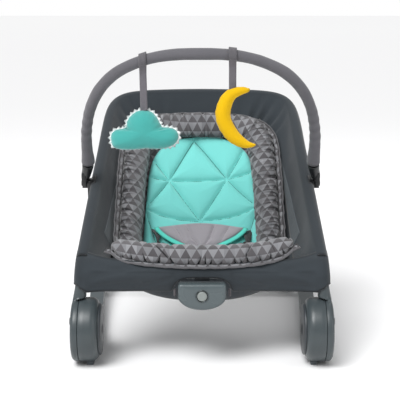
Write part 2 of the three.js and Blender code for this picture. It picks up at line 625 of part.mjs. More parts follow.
function makeToyBar() {
  const [x0, x1] = [PIVOT.x - 8 + GAP, PIVOT.x + 8];
  const eye = cylinderX(PIVOT.r, x0, x1, PIVOT.y, PIVOT.z, 28);
  const lean = Math.atan2(PIVOT.y - BAR_PATH[0][1], BAR_PATH[0][2] - PIVOT.z);
  const arm = box(x0, x1, -11, 11, 0, 30).rotateX(lean).translate(0, PIVOT.y, PIVOT.z);
  const up = new THREE.Vector3(0, -Math.sin(lean), Math.cos(lean));
  const from = up.clone().multiplyScalar(25).add(new THREE.Vector3(232, PIVOT.y, PIVOT.z));
  const to = up.clone().multiplyScalar(50).add(new THREE.Vector3(228.4, PIVOT.y, PIVOT.z));
  const socket = rod(from.toArray(), to.toArray(), BAR_SLEEVE_R + 2.5, 0, 20);
  const [start, next] = stations(barCurve, BAR_STEPS, 0, 1);
  const bore = rod(start.clone().lerp(next, -0.03).toArray(), start.clone().lerp(next, 2).toArray(),
    BAR_CORE_R + GAP, 0, 16);
  const pinHole = cylinderX(5 + GAP, x0 - 2, x1 + 2, PIVOT.y, PIVOT.z, 20);
  addPair("toy_bar_end", cut(join(eye, arm, socket), bore, pinHole), COLOURS.darkPlastic, 0.5);
  add("toy_bar_core", tubeThrough(stations(barCurve, BAR_STEPS, 0, BAR_STEPS), BAR_CORE_R, 0),
    COLOURS.darkPlastic, 0.5);
  add("toy_bar_sleeve", tubeThrough(stations(barCurve, BAR_STEPS, 1, BAR_STEPS - 1), BAR_SLEEVE_R,
    aroundCore(BAR_CORE_R)), COLOURS.sleeve, 0.95);
}

// ---- plush toys ----
function barAt(x) {
  return nearestOn(barCurve, (p) => Math.abs(p.x - x));
}

// a loop of webbing round the bar with a flat tail down to the toy
function toyStrap(x, toyTop) {
  const { at, along } = barAt(x);
  const half = along.clone().multiplyScalar(STRAP.width / 2 - 0.5);
  const [inner, outer] = [BAR_SLEEVE_R + 0.7, BAR_SLEEVE_R + 0.7 + STRAP.thick];
  const loop = rod(at.clone().sub(half).toArray(), at.clone().add(half).toArray(), outer, 0, 20);
  const bore = rod(at.clone().sub(half.clone().multiplyScalar(4)).toArray(),
    at.clone().add(half.clone().multiplyScalar(4)).toArray(), inner, 0, 16);
  const tail = box(at.x - STRAP.width / 2, at.x + STRAP.width / 2, at.y - STRAP.thick / 2,
    at.y + STRAP.thick / 2, toyTop, at.z - inner);
  return cut(join(loop, tail), bore);
}

// a plump solid from an outline in (x, z): thick in the middle and thin at its edge
function plush(outline, y, depth, centre) {
  const levels = [[-1, 0.55], [-0.8, 0.82], [0, 1], [0.8, 0.82], [1, 0.55]];
  const rings = levels.map(([t, scale]) => outline.map(([x, z]) => new THREE.Vector3(
    centre[0] + (x - centre[0]) * scale, y + (t * depth) / 2, centre[1] + (z - centre[1]) * scale)));
  return loft(rings);
}

// five lobes in a flattened round, wide at the bottom
function cloudOutline({ x, z, width, height }, grow = 0) {
  const shape = new THREE.Shape();
  const [w, h] = [width / 2 + grow, height / 2 + grow];
  const base = z - h;
  shape.moveTo(x - w * 0.62, base);
  shape.bezierCurveTo(x - w * 1.12, base, x - w * 1.12, base + h * 1.1, x - w * 0.56, base + h * 1.12);
  const [crownX, crownZ] = [x + w * 0.42, base + h * 1.4];
  shape.bezierCurveTo(x - w * 0.5, base + h * 2.2, x + w * 0.32, base + h * 2.3, crownX, crownZ);
  shape.bezierCurveTo(x + w * 0.8, base + h * 1.6, x + w * 1.16, base + h * 0.1, x + w * 0.66, base);
  shape.closePath();
  return shape.getPoints(8).slice(0, -1).map((p) => [p.x, p.y]);
}

// a crescent: its outer edge from the top horn round to the bottom one, then its inner edge back
const MOON_EDGE = [
  [18, 53], [16, 56], [0, 58], [-21, 53.5], [-32, 45.5], [-42.7, 33.6], [-46.5, 17.5], [-46.3, 1.5],
  [-39.7, -17.3], [-28.9, -37.7], [-12.6, -51.2], [6.2, -56.7], [27.7, -54.4], [31, -50.5],
  [22, -46.7], [8.7, -37.7], [-5, -22.8], [-14.6, -6.6], [-17.8, 9.4], [-15.9, 22.9], [-9.2, 36.2],
  [1.4, 44.2], [13, 48.5],
];

function makeToys() {
  const cloudY = barAt(CLOUD.strapX).at.y;
  const cloudTop = CLOUD.z + CLOUD.height / 2;
  add("toy_cloud", plush(cloudOutline(CLOUD), cloudY, CLOUD.depth, [CLOUD.x, CLOUD.z]), COLOURS.cloud, 0.95);
  add("cloud_strap", toyStrap(CLOUD.strapX, cloudTop + 3), COLOURS.strap, 0.9);
  const moonY = barAt(MOON.strapX).at.y;
  const outline = new THREE.Shape(MOON_EDGE.map(([x, z]) => new THREE.Vector2(MOON.x + x, MOON.z + z)));
  add("toy_moon", extrudeY(outline, moonY - MOON.depth / 2, moonY + MOON.depth / 2), COLOURS.moon, 0.9);
  add("moon_strap", toyStrap(MOON.strapX, MOON.z + MOON.top + 2), COLOURS.strap, 0.9);
}

// ---- vibration unit ----
// straight across the top, rounded below
function unitOutline(inset, extraDrop = 0) {
  const { half, top, shoulder, drop } = UNIT;
  const w = half - inset;
  const shape = new THREE.Shape();
  shape.moveTo(-w + 5, top - inset);
  shape.quadraticCurveTo(-w, top - inset, -w, top - inset - 5);
  shape.lineTo(-w, shoulder);
  for (let i = 1; i <= UNIT_CURVE_STEPS; i += 1) {
    const a = Math.PI * (1 - i / UNIT_CURVE_STEPS);
    const [across, down] = [Math.cos(a), Math.sin(a)].map((t) => Math.sign(t) * Math.abs(t) ** UNIT_FULLNESS);
    shape.lineTo(w * across, shoulder - (drop - inset + extraDrop) * down);
  }
  shape.lineTo(w, top - inset - 5);
  shape.quadraticCurveTo(w, top - inset, w - 5, top - inset);
  shape.closePath();
  return shape;
}

const BOARD_BACK = -32;
const MOTOR = { y: -20, z: 131, r: 7, shaft: 1.2 };
const DOOR = { half: 29, low: 116, high: 146, thick: 2 };

function makeUnit() {
  makeUnitShells();
  const { back } = UNIT;
  add("battery_door", box(-DOOR.half, DOOR.half, back - DOOR.thick - 0.2, back - 0.2, DOOR.low, DOOR.high),
    COLOURS.darkPlastic, 0.5);
  add("circuit_board", box(-32, 32, BOARD_BACK, BOARD_BACK + 1.6, 128, 158), COLOURS.board, 0.5);
  add("battery", cylinderX(7.2, -36, 14, -20, 151, 16), COLOURS.copper, 0.3, 0.6);
  const { y, z, r, shaft } = MOTOR;
  add("vibration_motor", join(cylinderX(r, -22, 4, y, z, 16), cylinderX(shaft, 3, 15, y, z, 8)),
    COLOURS.steel, 0.3, 0.9);
  add("motor_weight", motorWeight(), COLOURS.copper, 0.3, 0.9);
  add("power_button", powerButton(), COLOURS.button, 0.4);
}

function makeUnitShells() {
  const { front, split, back, wall } = UNIT;
  const buttonHole = cylinderY(POWER.r + GAP, front - 5, front + 10, 0, POWER.z);
  const frontSpace = extrudeY(unitOutline(wall), front + wall, split + 1);
  const face = cut(extrudeY(unitOutline(0), front, split), frontSpace, buttonHole);
  add("unit_front_shell", face, COLOURS.unit, 0.35);
  const lug = box(-14, 14, back - 3, FRONT_TUBE.y - FRONT_TUBE.r - GAP, 150, 180);
  const doorSide = DOOR.half + GAP;
  const doorHole = box(-doorSide, doorSide, back - 3, back + 1, DOOR.low - GAP, DOOR.high + GAP);
  const screwHole = cylinderY(1.6, back - 14, back + 2, 0, DOOR.high + 3.4, 12);
  const rearSpace = extrudeY(unitOutline(wall), split - 1, back - wall);
  const rear = join(extrudeY(unitOutline(0, 3), split + GAP, back), lug);
  add("unit_rear_shell", cut(rear, rearSpace, doorHole, screwHole), COLOURS.darkPlastic, 0.5);
}

// the cap, with a stem that stops short of the circuit board until it is pressed
function powerButton() {
  const { front } = UNIT;
  return join(cylinderY(POWER.r, front - 3, front + 4, 0, POWER.z),
    cylinderY(3.5, front + 3, BOARD_BACK - POWER.travel - GAP, 0, POWER.z, 12));
}

// a half disc on the motor's shaft
function motorWeight() {
  const { y, z, shaft } = MOTOR;
  const disc = cylinderX(6.5, 7, 13, y, z, 20);
  return cut(disc, box(6, 14, y - 10, y + 10, z + 2, z + 9), cylinderX(shaft + GAP, 5, 15, y, z, 12));
}

makeBase();
makeKickstand();
makeLockRings();
makeHubCovers();
makeSeatFrame();
makeCover();
makeLiner();
makeHarness();
makeBarClips();
makeToyBar();
makeToys();
makeUnit();

export default part;
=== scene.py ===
"""Looks of a folding baby bouncer seat: cover, quilted pad, toy bar with two toys, rocking base."""
import math

import bmesh
import bpy
import numpy as np
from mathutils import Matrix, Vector, noise


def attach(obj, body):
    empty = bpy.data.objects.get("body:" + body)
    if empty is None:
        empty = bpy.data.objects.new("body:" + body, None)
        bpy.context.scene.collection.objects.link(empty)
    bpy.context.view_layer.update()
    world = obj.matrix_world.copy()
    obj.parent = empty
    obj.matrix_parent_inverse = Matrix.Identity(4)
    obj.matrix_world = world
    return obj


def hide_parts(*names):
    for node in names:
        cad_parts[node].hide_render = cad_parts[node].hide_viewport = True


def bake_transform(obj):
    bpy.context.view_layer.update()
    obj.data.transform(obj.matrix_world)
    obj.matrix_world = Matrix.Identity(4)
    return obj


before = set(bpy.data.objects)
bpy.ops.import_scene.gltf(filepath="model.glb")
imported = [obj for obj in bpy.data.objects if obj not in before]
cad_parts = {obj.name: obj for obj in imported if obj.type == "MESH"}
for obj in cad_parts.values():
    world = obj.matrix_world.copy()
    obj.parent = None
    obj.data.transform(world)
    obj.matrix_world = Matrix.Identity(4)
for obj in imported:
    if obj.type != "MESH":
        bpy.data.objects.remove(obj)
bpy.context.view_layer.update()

# Lengths in this file are millimetres, with y = 0 at the fold axis, until mesh_object() turns them
# into the frame's.
MM = 0.001
AXIS_Y = 239.5  # from the fold axis to the frame's middle
TAU = 2 * math.pi
SIDES = ((1, "right"), (-1, "left"))
HUB_Z = 65  # height of the fold axis
DRUM_R = 61
RNG = np.random.default_rng(7)

CAMERA_PLACE = (-0.004, -2.2105, 0.681)
CAMERA_TILT = math.radians(79.5)
LENS, SENSOR = 96.48, 36
AMBIENT = 0.36  # the white room's own light
SKY_POWER, SKY_ANGLE, SKY_WAY = 2.5, math.radians(38), (0.38, 0.55, -1.0)
# area lights: name, place, what it faces, size and power
LIGHTS = (
    ("key", (-1.1, -1.7, 2.3), (0, 0, 0.25), (0.9, 0.9), 16),
    ("fill", (1.9, -1.3, 1.2), (0, 0, 0.2), (0.4, 1.8), 8),
    ("edge", (-1.9, -0.9, 0.9), (0, -0.1, 0.2), (0.3, 1.6), 3),
    ("back", (0.3, 1.6, 2.3), (0, 0.1, 0.3), (2.0, 1.0), 14),
)


# ---------------------------------------------------------------- camera, floor, light
def make_camera():
    data = bpy.data.cameras.new("camera")
    data.sensor_width = SENSOR
    data.lens = LENS
    camera = bpy.data.objects.new("camera", data)
    camera.location = CAMERA_PLACE
    camera.rotation_euler = (CAMERA_TILT, 0, 0)
    bpy.context.scene.collection.objects.link(camera)
    bpy.context.scene.camera = camera


def area_light(name, place, target, size, power):
    data = bpy.data.lights.new(name, "AREA")
    data.shape = "RECTANGLE"
    data.size, data.size_y = size
    data.energy = power
    lamp = bpy.data.objects.new(name, data)
    lamp.location = place
    lamp.rotation_euler = (Vector(target) - Vector(place)).to_track_quat("-Z", "Y").to_euler()
    bpy.context.scene.collection.objects.link(lamp)


def make_stage():
    bpy.context.scene.view_settings.view_transform = "Standard"
    world = bpy.data.worlds.new("studio")
    bpy.context.scene.world = world
    world.use_nodes = True
    t = world.node_tree
    background = t.nodes["Background"]
    background.inputs["Color"].default_value = (1, 1, 1, 1)
    seen = node(t, "ShaderNodeLightPath").outputs["Is Camera Ray"]
    strength = calc(t, "ADD", calc(t, "MULTIPLY", seen, 1 - AMBIENT), AMBIENT)
    t.links.new(strength, background.inputs["Strength"])
    sun = bpy.data.lights.new("sky", "SUN")
    sun.energy, sun.angle = SKY_POWER, SKY_ANGLE
    lamp = bpy.data.objects.new("sky", sun)
    lamp.rotation_euler = Vector(SKY_WAY).to_track_quat("-Z", "Y").to_euler()
    bpy.context.scene.collection.objects.link(lamp)
    for light in LIGHTS:
        area_light(*light)
    bpy.ops.mesh.primitive_plane_add(size=60, location=(0, 20, 0))
    floor = bpy.context.object
    floor.name = "floor"
    m, t, bsdf = principled("floor_white", Roughness=0.85, Specular_IOR_Level=0.2)
    spots = node(t, "ShaderNodeTexNoise", Scale=2.0, Detail=2.0)
    tone(t, bsdf, spots.outputs["Fac"], (246, 246, 247), (250, 250, 250))
    floor.data.materials.append(m)


# ---------------------------------------------------------------- node helpers
def linear(colour):
    return tuple((v / 255 / 12.92) if v <= 10 else ((v / 255 + 0.055) / 1.055) ** 2.4 for v in colour) + (1,)


def principled(name, **inputs):
    m = bpy.data.materials.new(name)
    m.use_nodes = True
    t = m.node_tree
    bsdf = t.nodes["Principled BSDF"]
    for key, value in inputs.items():
        bsdf.inputs[key.replace("_", " ")].default_value = value
    return m, t, bsdf


def node(t, kind, props=(), **inputs):
    made = t.nodes.new(kind)
    for key, value in dict(props).items():
        setattr(made, key, value)
    for key, value in inputs.items():
        socket = made.inputs[int(key[1:])] if key[0] == "i" and key[1:].isdigit() else made.inputs[key]
        if isinstance(value, bpy.types.NodeSocket):
            t.links.new(value, socket)
        else:
            socket.default_value = value
    return made


def calc(t, operation, a, b=0.0):
    return node(t, "ShaderNodeMath", {"operation": operation}, i0=a, i1=b).outputs[0]


def mix(t, factor, a, b, kind="MIX"):
    made = node(t, "ShaderNodeMix", {"data_type": "RGBA", "blend_type": kind})
    for index, value in ((0, factor), (6, a), (7, b)):
        if isinstance(value, bpy.types.NodeSocket):
            t.links.new(value, made.inputs[index])
        else:
            made.inputs[index].default_value = value
    return made.outputs[2]


def tone(t, bsdf, factor, low, high):
    made = mix(t, factor, linear(low), linear(high))
    t.links.new(made, bsdf.inputs["Base Color"])
    return made


def coordinates(t, kind="UV"):
    return node(t, "ShaderNodeTexCoord").outputs[kind]


def bump(t, bsdf, height, distance, strength=1.0):
    made = node(t, "ShaderNodeBump", Strength=strength, Distance=distance, Height=height)
    t.links.new(made.outputs[0], bsdf.inputs["Normal"])


def grain(t, place, scale, detail=3.0, **more):
    return node(t, "ShaderNodeTexNoise", Vector=place, Scale=scale, Detail=detail,
                **more).outputs["Fac"]


def across_and_along(t, where):
    split = node(t, "ShaderNodeSeparateXYZ", i0=where)
    return split.outputs[0], split.outputs[1]


def shade(colour, k):
    return tuple(min(255, v * k) for v in colour)


# ---------------------------------------------------------------- materials
def weave_height(t, where, pitch):
    """Over-and-under threads of a plain weave, from 0 to 1."""
    x, y = across_and_along(t, where)
    waves = [calc(t, "SINE", calc(t, "MULTIPLY", v, TAU / 2 / pitch)) for v in (x, y)]
    return calc(t, "MULTIPLY_ADD", calc(t, "MULTIPLY", *waves), 0.5)


def crease_shade(t, deep):
    """Painted shade: 1 on open cloth, down to 1 - deep in creases and seams, where the colour is darkened as if
    shaded.
    """
    shape = node(t, "ShaderNodeNewGeometry").outputs["Pointiness"]
    found = node(t, "ShaderNodeMapRange", Value=shape)
    for key, value in (("From Min", 0.462), ("From Max", 0.497), ("To Min", 1 - deep), ("To Max", 1.0)):
        found.inputs[key].default_value = value
    return found.outputs["Result"]


def fabric(name, colour, pitch=0.0013, depth=0.00022, contrast=0.08, sheen=0.35, rough=0.92, where="UV",
           base=None, deep=0.5):
    """Woven cloth: threads, melange flecks, slow changes of tone and painted shade that darkens creases and seams,
    with a soft sheen.
    """
    m, t, bsdf = principled(name, Roughness=rough, Sheen_Weight=sheen, Sheen_Roughness=0.5,
                            Specular_IOR_Level=0.25)
    spot = coordinates(t, where)
    place = coordinates(t, "Object")
    threads = weave_height(t, spot, pitch)
    flecks = grain(t, place, 700.0, 2.0)
    drift = grain(t, place, 14.0)
    amount = calc(t, "ADD", calc(t, "MULTIPLY", threads, 0.35),
                  calc(t, "ADD", calc(t, "MULTIPLY", flecks, 0.4), calc(t, "MULTIPLY", drift, 0.35)))
    if base is None:
        face = mix(t, amount, linear(shade(colour, 1 - contrast)), linear(shade(colour, 1 + contrast)))
    else:
        grey = mix(t, amount, linear(shade((235, 235, 235), 1 - contrast)), (1, 1, 1, 1))
        face = mix(t, 1.0, base(t, spot), grey, "MULTIPLY")
    # painted shade: where the cloth is concave its colour is mixed towards the dark crease colour
    t.links.new(mix(t, crease_shade(t, deep), linear(CREASE_SHADE), face), bsdf.inputs["Base Color"])
    bump(t, bsdf, calc(t, "ADD", threads, calc(t, "MULTIPLY", flecks, 0.6)), depth, 0.8)
    return m


TRIANGLE = (0.0205, 0.0185)  # width and height of one printed triangle, metres
PRINT_TONES = (((120, 121, 125), (148, 149, 153)), ((80, 78, 81), (100, 98, 101)))  # light, then dark
# the dark colour that painted shade pulls creases and seams towards
CREASE_SHADE = (12, 14, 16)


def triangle_print(t, where):
    """Rows of dark triangles on light ones, each row half a triangle along, each triangle its own tone."""
    x, y = across_and_along(t, where)
    row_at = calc(t, "DIVIDE", y, TRIANGLE[1])
    row = calc(t, "FLOOR", row_at)
    rise = calc(t, "FRACT", row_at)
    along = calc(t, "ADD", calc(t, "DIVIDE", x, TRIANGLE[0]), calc(t, "MULTIPLY", row, 0.5))
    column = calc(t, "FLOOR", along)
    off = calc(t, "MULTIPLY", calc(t, "ABSOLUTE", calc(t, "SUBTRACT", calc(t, "FRACT", along), 0.5)),
               2.0)
    dark = calc(t, "LESS_THAN", off, calc(t, "SUBTRACT", 1.0, rise))
    cell = node(t, "ShaderNodeCombineXYZ", i0=column, i1=row, i2=dark).outputs[0]
    chance = node(t, "ShaderNodeTexWhiteNoise", {"noise_dimensions": "3D"},
                  Vector=cell).outputs["Value"]
    light_tone, dark_tone = (mix(t, chance, linear(low), linear(high)) for low, high in PRINT_TONES)
    return mix(t, dark, light_tone, dark_tone)


def mesh_fabric(name, colour):
    """Open warp-knit mesh: rows of small dark holes in a lighter net."""
    m, t, bsdf = principled(name, Roughness=0.85, Sheen_Weight=0.2)
    cells = node(t, "ShaderNodeTexVoronoi", {"feature": "F1"}, Vector=coordinates(t), Scale=420.0,
                 Randomness=0.15)
    hole = calc(t, "LESS_THAN", cells.outputs["Distance"], 0.36)
    tone(t, bsdf, hole, colour, shade(colour, 0.55))
    bump(t, bsdf, cells.outputs["Distance"], 0.0004, 0.7)
    return m


def plastic(name, colour, rough=0.38, texture=0.00006, contrast=0.05):
    """Moulded plastic: fine spark-eroded grain, faint flow marks and slightly rubbed, lighter edges."""
    m, t, bsdf = principled(name, Roughness=rough, Specular_IOR_Level=0.5, Coat_Weight=0.06,
                            Coat_Roughness=0.25)
    place = coordinates(t, "Object")
    fine = grain(t, place, 1900.0, 2.0)
    flow = grain(t, place, 22.0, Distortion=0.6)
    edges = node(t, "ShaderNodeNewGeometry").outputs["Pointiness"]
    worn = calc(t, "MULTIPLY", calc(t, "GREATER_THAN", edges, 0.56), 0.35)
    body = mix(t, flow, linear(shade(colour, 1 - contrast)), linear(shade(colour, 1 + contrast)))
    t.links.new(mix(t, worn, body, linear(shade(colour, 1.25))), bsdf.inputs["Base Color"])
    t.links.new(calc(t, "ADD", calc(t, "MULTIPLY", flow, 0.12), rough - 0.06), bsdf.inputs["Roughness"])
    bump(t, bsdf, fine, texture, 0.6)
    return m


def metal(name, colour, rough=0.3, metallic=0.85):
    m, t, bsdf = principled(name, Roughness=rough, Metallic=metallic)
    drawn = grain(t, coordinates(t, "Object"), 300.0)
    tone(t, bsdf, drawn, shade(colour, 0.93), shade(colour, 1.06))
    t.links.new(calc(t, "ADD", calc(t, "MULTIPLY", drawn, 0.15), rough - 0.07),
                bsdf.inputs["Roughness"])
    bump(t, bsdf, drawn, 0.00004, 0.5)
    return m


def thread(name, colour):
    m, t, bsdf = principled(name, Roughness=0.7, Sheen_Weight=0.3)
    twist = node(t, "ShaderNodeTexWave", Vector=coordinates(t, "Object"), Scale=250.0, Distortion=1.0)
    tone(t, bsdf, twist.outputs["Fac"], shade(colour, 0.85), colour)
    bump(t, bsdf, twist.outputs["Fac"], 0.0001, 0.6)
    return m


def webbing(name, colour):
    """Narrow-woven strap with a ribbed face."""
    m, t, bsdf = principled(name, Roughness=0.75, Sheen_Weight=0.25)
    x, y = across_and_along(t, coordinates(t))
    ribs = calc(t, "SINE", calc(t, "MULTIPLY", y, TAU / 0.0014))
    picks = calc(t, "SINE", calc(t, "MULTIPLY", x, TAU / 0.0011))
    height = calc(t, "MULTIPLY_ADD", calc(t, "MULTIPLY", ribs, picks), 0.5)
    tone(t, bsdf, height, shade(colour, 0.8), shade(colour, 1.08))
    bump(t, bsdf, height, 0.00035, 0.9)
    return m


MAT = {}


def make_materials():
    # deep: how strongly painted shade darkens each cloth's creases and seams; cloths that don't give it take 0.5
    MAT.update(
        charcoal=fabric("charcoal_canvas", (49, 55, 60), contrast=0.08, sheen=0.22),
        charcoal_dark=fabric("charcoal_binding", (36, 40, 45), pitch=0.001, contrast=0.1),
        mesh=mesh_fabric("side_mesh", (86, 94, 99)),
        print=fabric("triangle_print", (150, 150, 150), pitch=0.001, contrast=0.1, base=triangle_print,
                     deep=0.85),
        binding=fabric("pale_binding", (122, 121, 125), pitch=0.001, contrast=0.12),
        teal=fabric("teal_jersey", (116, 205, 199), pitch=0.0011, depth=0.00012, contrast=0.04,
                    sheen=0.35, deep=0.0),
        teal_edge=fabric("teal_tape", (98, 226, 208), pitch=0.001, contrast=0.06),
        # this thread is darker than plain teal thread: its colour also stands in for the shade in the quilting
        # grooves, so it is partly thread colour and partly painted shade
        teal_thread=thread("teal_thread", (34, 116, 110)),
        grey_thread=thread("grey_thread", (98, 104, 110)),
        charcoal_thread=thread("charcoal_thread", (60, 65, 71)),
        grey_pad=fabric("grey_jersey", (157, 154, 160), pitch=0.001, depth=0.00012, contrast=0.05,
                        sheen=0.4, deep=0.15),
        grey_seam=thread("grey_seam", (110, 104, 110)),
        sleeve=fabric("bar_sleeve", (102, 101, 106), pitch=0.0012, contrast=0.07, sheen=0.3),
        strap=webbing("toy_strap", (104, 101, 107)),
        strap_dark=webbing("strap_loop", (92, 90, 95)),
        cloud=fabric("cloud_velour", (62, 158, 152), pitch=0.0009, depth=0.0001, contrast=0.05,
                     sheen=0.6,
                     where="Object"),
        moon=fabric("moon_velour", (228, 182, 0), pitch=0.0009, depth=0.0001, contrast=0.04, sheen=0.08,
                    where="Object"),
        trim=fabric("white_trim", (236, 238, 238), pitch=0.001, contrast=0.05, sheen=0.3,
                    where="Object"),
        plastic=plastic("grey_moulding", (62, 70, 73)),
        plastic_dark=plastic("dark_moulding", (50, 55, 59), rough=0.42),
        black=plastic("black_clip", (26, 28, 30), rough=0.33),
        unit=plastic("unit_moulding", (78, 88, 91), rough=0.26),
        button=plastic("button_moulding", (132, 138, 136), rough=0.45, texture=0.0002),
        pad_rubber=plastic("grey_rubber", (74, 80, 84), rough=0.7, texture=0.0002),
        rubber=plastic("rubber", (34, 35, 37), rough=0.8, texture=0.0002),
        tube=metal("coated_tube", (92, 100, 103), rough=0.36, metallic=0.25),
        steel=metal("bare_steel", (150, 152, 155)),
        chrome=metal("button_ring", (96, 102, 104), rough=0.14, metallic=1.0),
        web=webbing("harness_webbing", (26, 27, 29)),
        board=plastic("circuit_green", (38, 96, 54), rough=0.45),
        cell=metal("cell_case", (172, 120, 66), rough=0.3),
        tab=fabric("pale_tab", (92, 86, 92), pitch=0.001, contrast=0.08),
    )


# ---------------------------------------------------------------- mesh helpers
def mesh_object(name, points, faces, look, body, uv=None, slot=None, replaces=(), smooth=True,
                flip=False):
    """points in millimetres (n, 3); uv, if given, is one (u, v) in metres for each corner of each face."""
    co = (np.asarray(points, float) - (0, AXIS_Y, 0)) * MM
    faces = [tuple(int(i) for i in f) for f in faces]
    if flip:
        faces = [f[::-1] for f in faces]
        uv = None if uv is None else [corners[::-1] for corners in uv]
    mesh = bpy.data.meshes.new(name)
    mesh.from_pydata(co.tolist(), [], faces)
    if uv is not None:
        layer = mesh.uv_layers.new(name="UVMap")
        layer.data.foreach_set("uv",
                               np.asarray([c for corners in uv for c in corners], np.float32).ravel())
    mesh.validate()
    mesh.polygons.foreach_set("use_smooth", [smooth] * len(mesh.polygons))
    obj = bpy.data.objects.new(name, mesh)
    bpy.context.scene.collection.objects.link(obj)
    obj.data.materials.append(MAT[look])
    if body:
        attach(obj, body)
    if replaces:
        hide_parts(*replaces)
    return obj


def grid_faces(n, m, closed=False, start=0):
    """Quads over n rows of m points, and the (row, column) of each corner."""
    faces, spots = [], []
    for i in range(n - 1):
        for j in range(m if closed else m - 1):
            k = (j + 1) % m
            faces.append((start + i * m + j, start + i * m + k, start + (i + 1) * m + k,
                          start + (i + 1) * m + j))
            spots.append(((i, j), (i, j + 1), (i + 1, j + 1), (i + 1, j)))
    return faces, spots


def metric_uv(points, closed):
    """(u, v) in metres for a grid: u runs along the rows' own lengths, v down the middle column."""
    rows = np.concatenate([points, points[:, :1]], 1) if closed else points
    across = np.linalg.norm(np.diff(rows, axis=1), axis=2).mean(0)
    along = np.linalg.norm(np.diff(rows, axis=0), axis=2).mean(1)
    u = np.concatenate([[0], np.cumsum(across)]) * MM
    v = np.concatenate([[0], np.cumsum(along)]) * MM
    return u, v


CAP_UV = 0.004  # how much cloth pattern a triangle of an end cap takes, metres


def ring_solid(name, rings, look, body, caps=True, uv_grid=None, **rest):
    """A closed solid from rings of points, rings[i][j]. uv_grid[i][j] has one column more, for the seam."""
    rings = np.asarray(rings, float)
    n, m = rings.shape[:2]
    u, v = metric_uv(rings, True)
    faces, spots = grid_faces(n, m, closed=True)
    if uv_grid is None:
        uv = [[(u[j], v[i]) for i, j in corners] for corners in spots]
    else:
        uv = [[tuple(uv_grid[i, j]) for i, j in corners] for corners in spots]
    points = rings.reshape(-1, 3)
    if caps:
        for row, turn in ((0, True), (n - 1, False)):
            middle = len(points)
            points = np.vstack([points, rings[row].mean(0)])
            for j in range(m):
                a, b = row * m + j, row * m + (j + 1) % m
                faces.append((b, a, middle) if turn else (a, b, middle))
                uv.append([(u[j], v[row]), (u[j] + CAP_UV, v[row]), (u[j], v[row] + CAP_UV)])
    return mesh_object(name, points, faces, look, body, uv=uv, **rest)


def torus_solid(name, rings, look, body, **rest):
    """A closed solid from rings that run round and meet again."""
    rings = np.asarray(rings, float)
    rings = np.concatenate([rings, rings[:1]])
    n, m = rings.shape[:2]
    u, v = metric_uv(rings, True)
    faces, spots = grid_faces(n, m, closed=True)
    last = (n - 1) * m
    faces = [tuple(i - last if i >= last else i for i in f) for f in faces]
    uv = [[(u[j], v[i]) for i, j in corners] for corners in spots]
    return mesh_object(name, rings[:-1].reshape(-1, 3), faces, look, body, uv=uv, **rest)


def unit_vectors(v):
    return v / np.maximum(np.linalg.norm(v, axis=-1, keepdims=True), 1e-9)


def grid_normals(p):
    return unit_vectors(np.cross(np.gradient(p, axis=0), np.gradient(p, axis=1)))


def cloth(name, top, look, body, thick=1.2, side=1, uv=None, under=None, **rest):
    """A closed sheet: the given face, and under it the same face set back, or another one."""
    top = np.asarray(top, float)
    n, m = top.shape[:2]
    if under is None:
        under = top - grid_normals(top) * thick * side
    u, v = metric_uv(top, False)

    def at(i, j):
        return (u[j], v[i]) if uv is None else tuple(uv[i, j])
    faces, spots = grid_faces(n, m)
    corners = [[at(i, j) for i, j in four] for four in spots]
    back, _ = grid_faces(n, m, start=n * m)
    faces += [f[::-1] for f in back]
    corners += [c[::-1] for c in corners[:len(back)]]
    edge = [(0, j) for j in range(m)] + [(i, m - 1) for i in range(1, n)]
    edge += [(n - 1, j) for j in range(m - 2, -1, -1)] + [(i, 0) for i in range(n - 2, 0, -1)]
    for (a, b), (c, d) in zip(edge, edge[1:] + edge[:1]):
        first, second = a * m + b, c * m + d
        faces.append((second, first, first + n * m, second + n * m))
        corners.append([at(c, d), at(a, b), at(a, b), at(c, d)])
    if side < 0:
        faces = [f[::-1] for f in faces]
        corners = [c[::-1] for c in corners]
    return mesh_object(name, np.vstack([top.reshape(-1, 3), under.reshape(-1, 3)]), faces, look, body,
                       uv=corners, **rest)


def path_frames(path, up):
    """Along, out and rise directions at each point of a path."""
    along = unit_vectors(np.gradient(path, axis=0))
    up = np.broadcast_to(np.asarray(up, float), path.shape)
    out = unit_vectors(np.cross(along, up))
    return along, out, np.cross(out, along)


def sweep_rings(path, radii, up=(0, 0, 1), sides=24):
    """Rings of an elliptical section. radii(i, angle) gives (out, rise) half sizes, or one number."""
    path = np.asarray(path, float)
    _, out, rise = path_frames(path, up)
    rings = []
    for i in range(len(path)):
        ring = []
        for k in range(sides):
            a = TAU * k / sides
            r = radii(i, a) if callable(radii) else radii
            ro, ru = r if isinstance(r, tuple) else (r, r)
            ring.append(path[i] + out[i] * math.cos(a) * ro + rise[i] * math.sin(a) * ru)
        rings.append(ring)
    return np.array(rings)


def rod(name, a, b, radius, look, body, sides=40, edge=0.8, **rest):
    """A straight round bar with softened ends."""
    a, b = np.array(a, float), np.array(b, float)
    length = np.linalg.norm(b - a)
    cuts = [0, edge * 0.3, edge, length / 2, length - edge, length - edge * 0.3, length]
    sizes = [radius - edge, radius - edge * 0.3, radius, radius, radius, radius - edge * 0.3,
             radius - edge]
    path = np.array([a + (b - a) * c / length for c in cuts])
    up = (0, 0, 1) if abs((b - a)[2]) < 0.9 * length else (0, 1, 0)
    return ring_solid(name, sweep_rings(path, lambda i, angle: sizes[i], up, sides), look, body, **rest)


def lathe(name, profile, look, body, side=1, centre=(0, HUB_Z), sides=96, **rest):
    """A profile of (radius, x) turned about a line parallel to X, closed at both ends."""
    rings = [[(side * x, centre[0] + r * math.cos(TAU * k / sides),
               centre[1] + r * math.sin(TAU * k / sides))
              for k in range(sides)] for r, x in profile]
    return ring_solid(name, rings, look, body, flip=side < 0, **rest)


def looped(profile):
    """A profile that ends where it starts, for a hollow turned piece."""
    return profile + [profile[0]]


